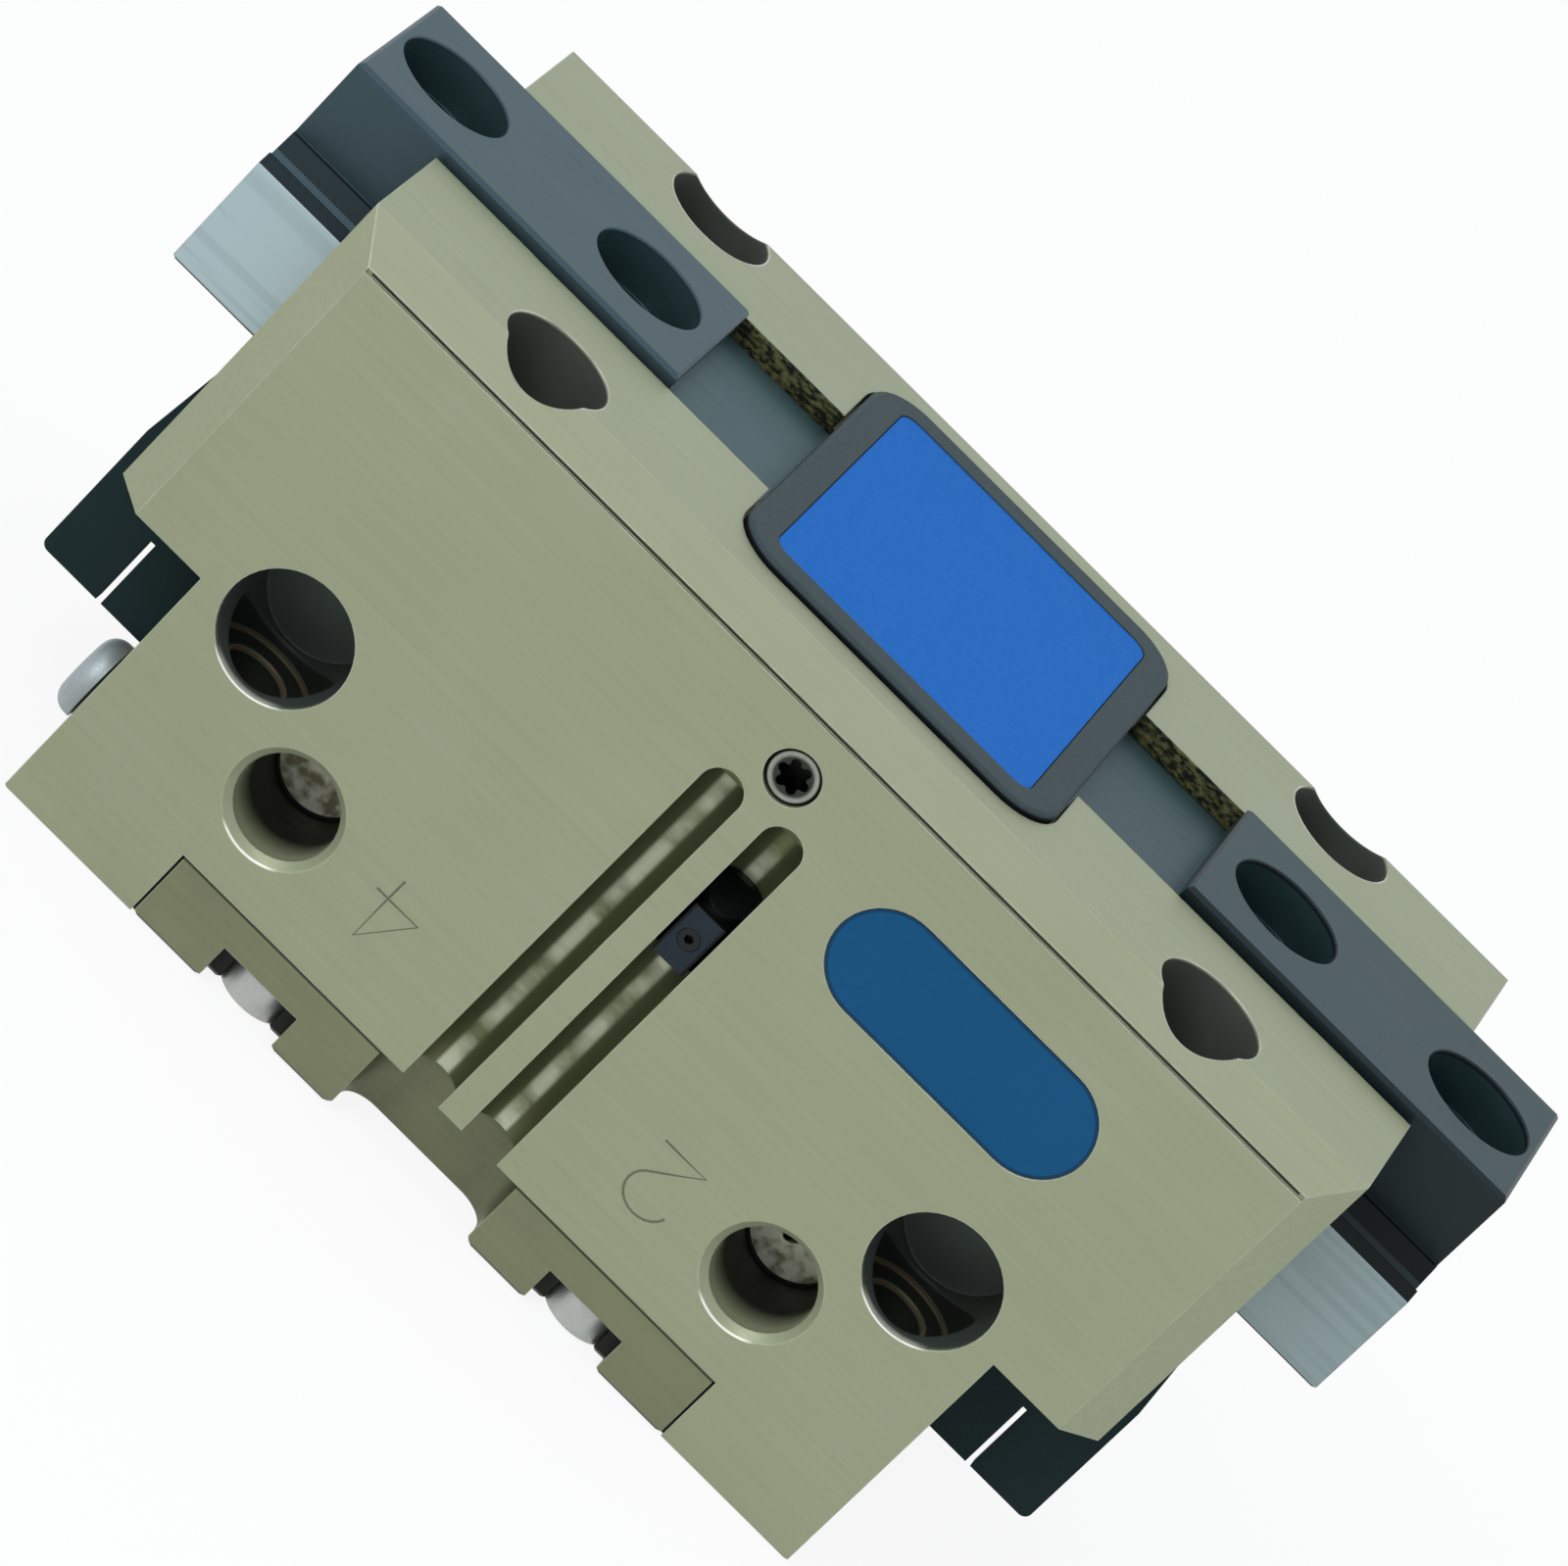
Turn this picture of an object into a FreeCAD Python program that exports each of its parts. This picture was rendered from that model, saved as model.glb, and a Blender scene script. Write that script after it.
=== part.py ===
import FreeCAD, Part
import math
import os

from FreeCAD import Vector

# Two-jaw parallel gripper, millimetres. X runs along the jaws, -Y is the front with the air ports,
# +Z is up towards the jaws. The origin is the middle of the bottom face. Depths count down from the
# top face of the housing. The jaws are modelled open, with the piston at the top of its stroke.

# Travel
JAW_STROKE = 13.0
PISTON_STROKE = 13.0
JAW_MEET_GAP = 0.3

# Housing
BODY_LENGTH = 125.0
BODY_DEPTH = 66.5
BODY_HEIGHT = 66.0
BASE_LENGTH = 101.2
STEP_DEPTH = 36.8
END_BEVEL = 3.6
BEVEL_SETBACK = 4.1
BEVEL_DROP = 3.3
BASE_CHAMFER = 0.3
BEVEL_LINE_WIDTH = 0.5
BEVEL_LINE_CUT = 0.3
CHANNEL_WIDTH = 24.8

# Jaws
JAW_LENGTH = 60.3
HEAD_LENGTH = 40.85
HEAD_WIDTH = 23.2
HEAD_RISE = 1.2
SLIDER_DROP = 2.1
BLOCK_WIDTH = 36.3
BLOCK_TOP_DEPTH = 10.3
JAW_BOTTOM_DEPTH = 23.1
JAW_EDGE_CHAMFER = 0.4
FIRST_CREST_OFFSET = 0.6
FIRST_CREST_DEPTH = 8.3
VALLEY_OFFSET = 2.8
VALLEY_DEPTH = 10.7
SECOND_CREST_OFFSET = 4.9
SECOND_CREST_DEPTH = 9.4
TOOTH_RELIEF = 0.6
GUIDE_GAP = 0.05
FINGER_BORE_R = 6.2
FINGER_BORE_DEPTH = 5.0
FINGER_BORE_CHAMFER = 0.15
FINGER_THREAD_R = 3.4
FINGER_THREAD_DEPTH = 18.0
FINGER_SPACING = 25.0
FINGER_END_DISTANCE = 7.25

# Wedge hook
HOOK_HEIGHT = 17.0
HOOK_FLANK_GAP = 0.3
HOOK_CORE_WIDTH = 20.0
HOOK_NECK_REACH = 2.8
HOOK_NECK_WIDTH = 8.0
HOOK_FLANGE_REACH = 3.2
HOOK_FLANGE_WIDTH = 15.0
HOOK_SLOT_GAP = 0.08
HOOK_POCKET_SIDE_GAP = 0.5
HOOK_POCKET_RADIUS = 3.0

# Cylinder
TRAVEL_END_GAP = 0.4
ROD_WALL = 5.0
BORE_RADIUS = 19.5
PISTON_HEIGHT = 10.5
PISTON_GAP = 0.3
ROD_RADIUS = 7.0
ROD_GAP = 0.05
ROD_SEAL_WIDTH = 2.4
ROD_SEAL_DEPTH = 2.0
SEAL_GROOVE_DEPTH = 2.2
SEAL_GROOVE_WIDTH = 2.6
SEAL_GROOVE_OFFSET = 1.6
GUIDE_RING_WIDTH = 1.6
GUIDE_RING_OFFSET = 5.2
SEAL_RUN_GAP = 0.05
MAGNET_RADIUS = 2.75
MAGNET_HEIGHT = 4.0
MAGNET_EDGE_WALL = 1.4
AIR_HOLE_RADIUS = 0.9
AIR_HOLE_ENTRY = 13.0
AIR_HOLE_LEAN_Y = 8.0
AIR_HOLE_RISE = 11.2
AIR_HOLE_DROP = 10.5

# Bottom cover
COVER_HEIGHT = 8.0
COVER_LENGTH = 68.1
COVER_GAP = 0.25
COVER_EDGE_CHAMFER = 0.5
COVER_SCREW_X = 21.0
COVER_SCREW_INSET = 5.25
COVER_NOTCH_WIDTH = 9.3
COVER_NOTCH_REACH = 2.6
COVER_NOTCH_HEIGHT = 4.2
COVER_HEAD_POCKET_R = 4.15
COVER_SCREW_GRIP = 9.0
COVER_SEAL_WALL = 1.2
COVER_SEAL_WIDTH = 2.0
COVER_SEAL_DEPTH = 1.5
COVER_SEAL_EDGE = 1.35
CABLE_RECESS_WIDTH = 17.6
CABLE_RECESS_DEPTH = 6.9
CABLE_RECESS_RADIUS = 3.3
CABLE_RECESS_CHAMFER = 0.8

# Top cap and its label
CAP_LENGTH = 39.0
CAP_DEPTH = 50.6
CAP_RISE = 0.8
CAP_SEAT_DEPTH = 1.7
CAP_RADIUS = 5.5
CAP_GAP = 0.3
CAP_EDGE_ROUND = 0.6
CAP_LABEL_LENGTH = 32.0
CAP_LABEL_DEPTH = 43.8
CAP_LABEL_RADIUS = 1.8
CAP_LABEL_THICKNESS = 0.3
CAP_LABEL_SINK = 0.4
LABEL_GAP = 0.1
CAP_SCREW_X = 12.5
CAP_SCREW_Y = 18.0
CAP_SCREW_GRIP = 5.0

# Front face
MOUNT_X = 41.3
MOUNT_INSET = 7.65
MOUNT_HEAD_R = 5.9
MOUNT_SEAT_DEPTH = 43.4
MOUNT_HOLE_R = 3.3
CROSS_HOLE_DEPTH = 35.2
CROSS_HOLE_R = 6.7
CROSS_HOLE_LENGTH = 14.3
PORT_X = 30.6
PORT_DEPTH = 47.5
PORT_R = 5.2
PORT_LENGTH = 13.0
PORT_CHAMFER = 0.8
SLOT_X = 3.75
SLOT_WIDTH = 4.5
SLOT_TOP_DEPTH = 13.2
SLOT_CUT = 6.4
SLOT_ROUND_R = 2.6
PURGE_DEPTH = 9.5
PURGE_SCREW_R = 2.75
PURGE_SCREW_LENGTH = 5.0
PURGE_SCREW_SINK = 0.3
PURGE_HOLE_R = 1.0
PURGE_RIM_CHAMFER = 0.25
PURGE_SOCKET_R = 1.75
PURGE_SOCKET_DEPTH = 2.8
PURGE_LOBE_R = 0.5
TYPE_LABEL_X = 27.65
TYPE_LABEL_DEPTH = 16.4
TYPE_LABEL_LENGTH = 30.5
TYPE_LABEL_WIDTH = 11.5
TYPE_LABEL_THICKNESS = 0.2
TYPE_LABEL_SINK = 0.25

# Stop in the right sensor slot
STOP_TOP_DEPTH = 25.1
STOP_BOTTOM_DEPTH = 31.4
STOP_TONGUE_DEPTH = 22.4
STOP_GAP = 0.06
STOP_HEAD_GAP = 0.35
STOP_SINK = 0.35
STOP_SCREW_R = 1.1
STOP_SCREW_LENGTH = 3.4
STOP_SOCKET_R = 0.5
STOP_SOCKET_DEPTH = 1.2

# Sensor brackets and control cams
BRACKET_REACH = 0.85
BRACKET_CLAMP_LENGTH = 12.0
BRACKET_LUG_LENGTH = 13.0
BRACKET_LUG_HEIGHT = 3.5
BRACKET_BOTTOM_DEPTH = 52.8
BRACKET_PROUD = 1.7
BRACKET_TOP_DEPTH = 24.0
BRACKET_TOP_WALL = 0.15
BRACKET_ROUND = 0.9
SENSOR_X = 56.7
SENSOR_BORE_R = 2.5
SENSOR_BORE_INSET = 4.2
FRONT_SLIT = 0.62
REAR_SLIT = 3.0
CLAMP_SLIT_TOP_DEPTH = 44.6
CLAMP_SCREW_INSET = 8.6
CLAMP_SCREW_DEPTH = 46.5
CAM_LENGTH = 10.0
CAM_WIDTH = 4.8
CAM_HEIGHT = 2.5
CAM_GAP = 0.4
CAM_SCREW_SPACING = 5.6
CAM_SCREW_GRIP = 5.0

# Side plug and base port screws
SIDE_PLUG_INSET = 11.25
SIDE_PLUG_DEPTH = 57.0
SIDE_PLUG_R = 4.4
SIDE_PLUG_RISE = 2.4
SIDE_PLUG_ROUND = 1.9
SIDE_PLUG_SOCKET_R = 1.5
SIDE_PLUG_SOCKET_DEPTH = 1.6
SIDE_PLUG_GRIP = 4.6
WASHER_R = 4.0
WASHER_THICKNESS = 0.6
BASE_PORT_WALL = 7.95
BASE_SCREW_R = 2.45
BASE_SCREW_LENGTH = 5.0
BASE_SCREW_SINK = 0.3
BASE_SOCKET_R = 1.25
BASE_AIR_HOLE_R = 0.8
BASE_AIR_REACH = 13.5
BASE_AIR_RISE_LEFT = 22.0
BASE_AIR_RISE_RIGHT = 8.7

# Screws by thread size: shank radius, head radius, head height, socket radius
THREAD_GAP = 0.05
M2 = (1.25, 2.2, 1.2, 0.8)
M3 = (1.5, 2.7, 2.4, 1.3)
M4 = (2.0, 3.8, 3.9, 1.7)
M4_LOW = (2.0, 3.5, 2.6, 1.4)
M6 = (3.0, 5.0, 6.0, 2.7)
SOCKET_SHARE = 0.55
THROUGH = 1.0

# Levels and places that follow from the sizes above
WEDGE_TAN = JAW_STROKE / PISTON_STROKE
FRONT = -BODY_DEPTH / 2
BODY_END = BODY_LENGTH / 2
BASE_END = BASE_LENGTH / 2
JAW_INNER_X = JAW_MEET_GAP + JAW_STROKE
JAW_OUTER_X = JAW_INNER_X + JAW_LENGTH
HEAD_INNER_X = JAW_OUTER_X - HEAD_LENGTH
HOOK_TOP_DEPTH = SLIDER_DROP
HOOK_BOTTOM_DEPTH = HOOK_TOP_DEPTH + HOOK_HEIGHT
POCKET_FLOOR_DEPTH = HOOK_BOTTOM_DEPTH + PISTON_STROKE + TRAVEL_END_GAP
CEILING_DEPTH = POCKET_FLOOR_DEPTH + ROD_WALL
PISTON_TOP_DEPTH = CEILING_DEPTH + TRAVEL_END_GAP
PISTON_BOTTOM_DEPTH = PISTON_TOP_DEPTH + PISTON_HEIGHT
CHAMBER_FLOOR_DEPTH = PISTON_BOTTOM_DEPTH + PISTON_STROKE + TRAVEL_END_GAP
BORE_CENTRES = COVER_LENGTH - 2 * (BORE_RADIUS + COVER_SEAL_WALL + COVER_SEAL_WIDTH + COVER_SEAL_EDGE)
COVER_SCREW_Y = BODY_DEPTH / 2 - COVER_SCREW_INSET
MOUNT_Y = BODY_DEPTH / 2 - MOUNT_INSET
SIDE_PLUG_Y = FRONT + SIDE_PLUG_INSET
BASE_PORT_X = COVER_LENGTH / 2 + BASE_PORT_WALL
BRACKET_FRONT_Y = -BLOCK_WIDTH / 2 - BRACKET_REACH
SENSOR_Y = BRACKET_FRONT_Y + SENSOR_BORE_INSET
BRACKET_REAR_Y = BRACKET_FRONT_Y + BRACKET_CLAMP_LENGTH
BRACKET_OUTER_X = BODY_END + BRACKET_PROUD
CAM_FLOOR_DEPTH = JAW_BOTTOM_DEPTH + CAM_HEIGHT + CAM_GAP
CAM_CENTRE_X = SENSOR_X - CAM_GAP


def level(depth):
    """Height of a place that lies this far below the top face."""
    return BODY_HEIGHT - depth


def block(x0, x1, y0, y1, z0, z1):
    """Box between two corners."""
    return Part.makeBox(x1 - x0, y1 - y0, z1 - z0, Vector(x0, y0, z0))


def rod(radius, start, end):
    """Cylinder from one point to another."""
    axis = end.sub(start)
    return Part.makeCylinder(radius, axis.Length, start, axis)


def taper(start_radius, end_radius, start, end):
    """Cone frustum from one point to another."""
    axis = end.sub(start)
    return Part.makeCone(start_radius, end_radius, axis.Length, start, axis)


def prism(points, sweep):
    """Polygon through the points, swept along a vector."""
    outline = Part.makePolygon(list(points) + [points[0]])
    return Part.Face(outline).extrude(sweep)


def stadium(centres, radius, z0, z1):
    """Upright prism with two straight sides and two half-round ends."""
    half = centres / 2
    edges = [
        Part.LineSegment(Vector(-half, -radius, z0), Vector(half, -radius, z0)).toShape(),
        Part.Arc(Vector(half, -radius, z0), Vector(half + radius, 0, z0), Vector(half, radius, z0)).toShape(),
        Part.LineSegment(Vector(half, radius, z0), Vector(-half, radius, z0)).toShape(),
        Part.Arc(Vector(-half, radius, z0), Vector(-half - radius, 0, z0), Vector(-half, -radius, z0)).toShape(),
    ]
    return Part.Face(Part.Wire(edges)).extrude(Vector(0, 0, z1 - z0))


def stadium_ring(centres, outer, inner, z0, z1):
    """Band of rectangular section that follows the oval piston."""
    return stadium(centres, outer, z0, z1).cut(stadium(centres, inner, z0, z1))


def upright_edges(shape):
    """Edges that run along Z."""
    found = []
    for edge in shape.Edges:
        first, last = edge.Vertexes[0].Point, edge.Vertexes[-1].Point
        if abs(first.x - last.x) < 1e-6 and abs(first.y - last.y) < 1e-6:
            found.append(edge)
    return found


def edges_at(shape, z):
    """Edges that lie wholly at one height."""
    return [edge for edge in shape.Edges
            if abs(edge.BoundBox.ZMin - z) < 1e-6 and abs(edge.BoundBox.ZMax - z) < 1e-6]


def rounded_block(length, depth, z0, z1, radius):
    """Centred plate with round upright corners."""
    plate = block(-length / 2, length / 2, -depth / 2, depth / 2, z0, z1)
    return plate.makeFillet(radius, upright_edges(plate))


def mirror_x(shape):
    """Copy on the other side of the YZ plane."""
    return shape.mirror(Vector(0, 0, 0), Vector(1, 0, 0))


def mirror_y(shape):
    """Copy on the other side of the XZ plane."""
    return shape.mirror(Vector(0, 0, 0), Vector(0, 1, 0))


def on_both_ends(shape):
    """The shape and its copy at the other end."""
    return [shape, mirror_x(shape)]


def at_four_corners(shape):
    """The shape and its copies at all four corners."""
    pair = on_both_ends(shape)
    return pair + [mirror_y(item) for item in pair]


def cut_all(shape, tools):
    """Shape with every tool removed, joined first so that crossing tools cut cleanly."""
    tool = tools[0]
    if len(tools) > 1:
        tool = tools[0].multiFuse(tools[1:])
    return shape.cut(tool)


def hexagon(radius, start, end):
    """Six-sided socket between two points, as wide across its corners as the radius says."""
    axis = end.sub(start)
    direction = Vector(axis).normalize()
    side = Vector(0, 0, 1) if abs(direction.z) < 0.5 else Vector(1, 0, 0)
    other = direction.cross(side)
    points = []
    for step in range(6):
        angle = math.radians(60 * step)
        points.append(start + side * (radius * math.cos(angle)) + other * (radius * math.sin(angle)))
    return prism(points, axis)


def socket_screw(size, seat, direction, grip):
    """Cylinder-head screw: the head stands on the seat, the shank runs from it along direction."""
    shank_r, head_r, head_height, socket_r = size
    top = seat - direction * head_height
    head = rod(head_r, top, seat)
    shank = rod(shank_r, seat, seat + direction * grip)
    socket = hexagon(socket_r, top, top + direction * (head_height * SOCKET_SHARE))
    return head.fuse(shank).removeSplitter().cut(socket)


def thread_hole(size, seat, direction, grip):
    """Hole that takes the shank of a screw, a little longer than its grip."""
    return rod(size[0] + THREAD_GAP, seat, seat + direction * (grip + THROUGH))


def leaning_slab(x_top, reach, z_top, z_bottom, width):
    """Slab between two planes that lean outward going down, at the wedge angle."""
    lean = (z_top - z_bottom) * WEDGE_TAN
    points = [
        Vector(x_top, -width / 2, z_top),
        Vector(x_top + reach, -width / 2, z_top),
        Vector(x_top + reach + lean, -width / 2, z_bottom),
        Vector(x_top + lean, -width / 2, z_bottom),
    ]
    return prism(points, Vector(0, width, 0))


def jaw_outline(gap):
    """Toothed T section of a jaw in the YZ plane, grown outward by a gap."""
    half_head = HEAD_WIDTH / 2
    half_block = BLOCK_WIDTH / 2
    side = [
        (half_head, level(SLIDER_DROP)),
        (half_head, level(FIRST_CREST_DEPTH)),
        (half_head + FIRST_CREST_OFFSET, level(FIRST_CREST_DEPTH)),
        (half_head + VALLEY_OFFSET, level(VALLEY_DEPTH)),
        (half_head + SECOND_CREST_OFFSET, level(SECOND_CREST_DEPTH)),
        (half_block, level(BLOCK_TOP_DEPTH)),
        (half_block, level(JAW_BOTTOM_DEPTH)),
    ]
    points = side + [(-y, z) for y, z in reversed(side)]
    outline = Part.makePolygon([Vector(0, y, z) for y, z in points + points[:1]])
    if gap:
        outline = outline.makeOffset2D(gap, 2, False, False)
    return Part.Face(outline)


def finger_holes():
    """Centring bores with thread below, one pair per jaw, cut from the right head."""
    tools = []
    top = level(-HEAD_RISE)
    for x in (JAW_OUTER_X - FINGER_END_DISTANCE, JAW_OUTER_X - FINGER_END_DISTANCE - FINGER_SPACING):
        mouth = Vector(x, 0, top)
        rim = Vector(x, 0, top - FINGER_BORE_CHAMFER)
        floor = Vector(x, 0, top - FINGER_BORE_DEPTH)
        tools.append(taper(FINGER_BORE_R + FINGER_BORE_CHAMFER, FINGER_BORE_R, mouth, rim))
        tools.append(rod(FINGER_BORE_R, mouth, floor))
        tools.append(rod(FINGER_THREAD_R, floor, Vector(x, 0, top - FINGER_THREAD_DEPTH)))
    return tools


def hook_slot():
    """T slot and leaning end face that take the wedge hook, cut from the right jaw."""
    top = level(HOOK_TOP_DEPTH)
    over = THROUGH
    z_top = top + over
    z_bottom = level(JAW_BOTTOM_DEPTH) - over
    flank = JAW_INNER_X - HOOK_FLANK_GAP - over * WEDGE_TAN
    neck_end = flank + HOOK_NECK_REACH
    reach_back = JAW_LENGTH
    end_face = leaning_slab(flank + HOOK_FLANK_GAP - reach_back, reach_back, z_top, z_bottom,
                            BLOCK_WIDTH + 2 * over)
    neck = leaning_slab(flank, HOOK_NECK_REACH, z_top, z_bottom, HOOK_NECK_WIDTH + 2 * HOOK_SLOT_GAP)
    flange = leaning_slab(neck_end - HOOK_SLOT_GAP, HOOK_FLANGE_REACH + 2 * HOOK_SLOT_GAP, z_top, z_bottom,
                          HOOK_FLANGE_WIDTH + 2 * HOOK_SLOT_GAP)
    return [end_face, neck, flange]


def cam_screw_seats():
    """Where the two cam screws seat, under the right jaw."""
    z = level(JAW_BOTTOM_DEPTH + CAM_HEIGHT) + M2[2]
    return [Vector(CAM_CENTRE_X + offset, SENSOR_Y, z)
            for offset in (-CAM_SCREW_SPACING / 2, CAM_SCREW_SPACING / 2)]


def make_jaw():
    """Right base jaw, open."""
    body = jaw_outline(0).extrude(Vector(JAW_LENGTH, 0, 0))
    body.translate(Vector(JAW_INNER_X, 0, 0))
    bottom = level(JAW_BOTTOM_DEPTH)
    lower_edges = [edge for edge in edges_at(body, bottom) if edge.Length > BLOCK_WIDTH - THROUGH]
    body = body.makeChamfer(JAW_EDGE_CHAMFER, lower_edges)
    head = block(HEAD_INNER_X, JAW_OUTER_X, -HEAD_WIDTH / 2, HEAD_WIDTH / 2,
                 level(SLIDER_DROP), level(-HEAD_RISE))
    head = head.makeChamfer(JAW_EDGE_CHAMFER, edges_at(head, level(-HEAD_RISE)))
    jaw = body.fuse(head).removeSplitter()
    tools = finger_holes() + hook_slot()
    grip = CAM_SCREW_GRIP + CAM_HEIGHT
    tools += [thread_hole(M2, seat, Vector(0, 0, 1), grip) for seat in cam_screw_seats()]
    return cut_all(jaw, tools)


def make_cam():
    """Control cam that the right sensor looks up at, screwed under the jaw."""
    bottom = level(JAW_BOTTOM_DEPTH + CAM_HEIGHT)
    cam = block(CAM_CENTRE_X - CAM_LENGTH / 2, CAM_CENTRE_X + CAM_LENGTH / 2,
                SENSOR_Y - CAM_WIDTH / 2, SENSOR_Y + CAM_WIDTH / 2, bottom, level(JAW_BOTTOM_DEPTH))
    tools = []
    for seat in cam_screw_seats():
        tools.append(rod(M2[0] + THREAD_GAP, seat, seat + Vector(0, 0, CAM_HEIGHT)))
        tools.append(rod(M2[1] + THREAD_GAP, seat, seat - Vector(0, 0, CAM_HEIGHT)))
    return cut_all(cam, tools)


def make_cam_screws():
    """Two screws that hold the right cam."""
    grip = CAM_SCREW_GRIP + CAM_HEIGHT - M2[2]
    return [socket_screw(M2, seat, Vector(0, 0, 1), grip) for seat in cam_screw_seats()]


def make_wedge_hook():
    """Double wedge with a T rib on each leaning flank, at the top of its stroke."""
    top = level(HOOK_TOP_DEPTH)
    bottom = level(HOOK_BOTTOM_DEPTH)
    flank = JAW_INNER_X - HOOK_FLANK_GAP
    lean = HOOK_HEIGHT * WEDGE_TAN
    half = HOOK_CORE_WIDTH / 2
    points = [
        Vector(-flank, -half, top),
        Vector(flank, -half, top),
        Vector(flank + lean, -half, bottom),
        Vector(-flank - lean, -half, bottom),
    ]
    core = prism(points, Vector(0, HOOK_CORE_WIDTH, 0))
    neck = leaning_slab(flank, HOOK_NECK_REACH, top, bottom, HOOK_NECK_WIDTH)
    flange = leaning_slab(flank + HOOK_NECK_REACH, HOOK_FLANGE_REACH, top, bottom, HOOK_FLANGE_WIDTH)
    ribs = on_both_ends(neck) + on_both_ends(flange)
    hook = core.multiFuse(ribs).removeSplitter()
    return hook.cut(piston_screw_hole())


def piston_screw_seat():
    """Where the head of the piston screw seats, inside the underside of the piston."""
    return Vector(0, 0, level(PISTON_BOTTOM_DEPTH) + M6[2] + THREAD_GAP)


def piston_screw_grip():
    """Length of the piston screw below its head: piston, rod and half of the hook."""
    return level(HOOK_BOTTOM_DEPTH) - piston_screw_seat().z + HOOK_HEIGHT / 2


def piston_screw_hole():
    """Straight hole that the piston screw passes through and is tapped into."""
    return thread_hole(M6, piston_screw_seat(), Vector(0, 0, 1), piston_screw_grip())


def make_piston_rod():
    """Hollow rod between piston and hook, sliding in the wall of the housing."""
    tube = rod(ROD_RADIUS, Vector(0, 0, level(PISTON_TOP_DEPTH)), Vector(0, 0, level(HOOK_BOTTOM_DEPTH)))
    return tube.cut(piston_screw_hole())


def groove_span(offset, width):
    """Lower and upper height of a groove in the side of the piston."""
    upper = level(PISTON_TOP_DEPTH + offset)
    return upper - width, upper


def magnet_centre(side):
    """Middle of the top face of one magnet, just inside the front of the piston."""
    y = -(BORE_RADIUS - PISTON_GAP - SEAL_GROOVE_DEPTH - MAGNET_EDGE_WALL - MAGNET_RADIUS)
    return Vector(side * SLOT_X, y, level(PISTON_TOP_DEPTH))


def make_piston():
    """Oval piston with a seal groove, a guide ring groove and magnet pockets."""
    outer = BORE_RADIUS - PISTON_GAP
    piston = stadium(BORE_CENTRES, outer, level(PISTON_BOTTOM_DEPTH), level(PISTON_TOP_DEPTH))
    low, high = groove_span(SEAL_GROOVE_OFFSET, SEAL_GROOVE_WIDTH)
    tools = [stadium_ring(BORE_CENTRES, outer + THROUGH, outer - SEAL_GROOVE_DEPTH, low, high)]
    low, high = groove_span(GUIDE_RING_OFFSET, GUIDE_RING_WIDTH)
    tools.append(stadium_ring(BORE_CENTRES, outer + THROUGH, outer - SEAL_GROOVE_DEPTH / 2, low, high))
    for side in (-1, 1):
        centre = magnet_centre(side)
        tools.append(rod(MAGNET_RADIUS + THREAD_GAP, centre, centre - Vector(0, 0, MAGNET_HEIGHT)))
    seat = piston_screw_seat()
    tools.append(rod(M6[1] + THREAD_GAP, seat, seat - Vector(0, 0, PISTON_HEIGHT)))
    tools.append(piston_screw_hole())
    return cut_all(piston, tools)


def make_piston_seal():
    """Oval lip seal in the upper groove of the piston."""
    low, high = groove_span(SEAL_GROOVE_OFFSET, SEAL_GROOVE_WIDTH)
    inner = BORE_RADIUS - PISTON_GAP - SEAL_GROOVE_DEPTH
    return stadium_ring(BORE_CENTRES, BORE_RADIUS - SEAL_RUN_GAP, inner, low, high)


def make_piston_guide_ring():
    """Plain bearing strip in the lower groove of the piston."""
    low, high = groove_span(GUIDE_RING_OFFSET, GUIDE_RING_WIDTH)
    inner = BORE_RADIUS - PISTON_GAP - SEAL_GROOVE_DEPTH / 2
    return stadium_ring(BORE_CENTRES, BORE_RADIUS - SEAL_RUN_GAP, inner, low, high)


def make_piston_magnets():
    """Two switching magnets behind the sensor slots."""
    magnets = []
    for side in (-1, 1):
        centre = magnet_centre(side)
        magnets.append(rod(MAGNET_RADIUS, centre, centre - Vector(0, 0, MAGNET_HEIGHT)))
    return magnets


def make_rod_seal():
    """Ring that seals the rod where it passes through the wall."""
    middle = level((POCKET_FLOOR_DEPTH + CEILING_DEPTH) / 2)
    low = Vector(0, 0, middle - ROD_SEAL_WIDTH / 2)
    high = Vector(0, 0, middle + ROD_SEAL_WIDTH / 2)
    outer = rod(ROD_RADIUS + ROD_SEAL_DEPTH, low, high)
    return outer.cut(rod(ROD_RADIUS + ROD_GAP, low, high))


def upper_block():
    """Upper part of the housing, with the mitred bevel round its front and back faces."""
    half = BODY_DEPTH / 2
    bottom = level(STEP_DEPTH)
    profile = [
        Vector(-BODY_END, -half, bottom),
        Vector(-BODY_END, -half, level(BEVEL_DROP)),
        Vector(-BODY_END, -half + BEVEL_SETBACK, BODY_HEIGHT),
        Vector(-BODY_END, half - BEVEL_SETBACK, BODY_HEIGHT),
        Vector(-BODY_END, half, level(BEVEL_DROP)),
        Vector(-BODY_END, half, bottom),
    ]
    along = prism(profile, Vector(BODY_LENGTH, 0, 0))
    quarter = [(BODY_END, half - BEVEL_SETBACK), (BODY_END - END_BEVEL, half)]
    right = [(x, -y) for x, y in reversed(quarter)] + quarter
    points = right + [(-x, y) for x, y in reversed(right)]
    plan = prism([Vector(x, y, bottom) for x, y in points], Vector(0, 0, STEP_DEPTH))
    return along.common(plan)


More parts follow.
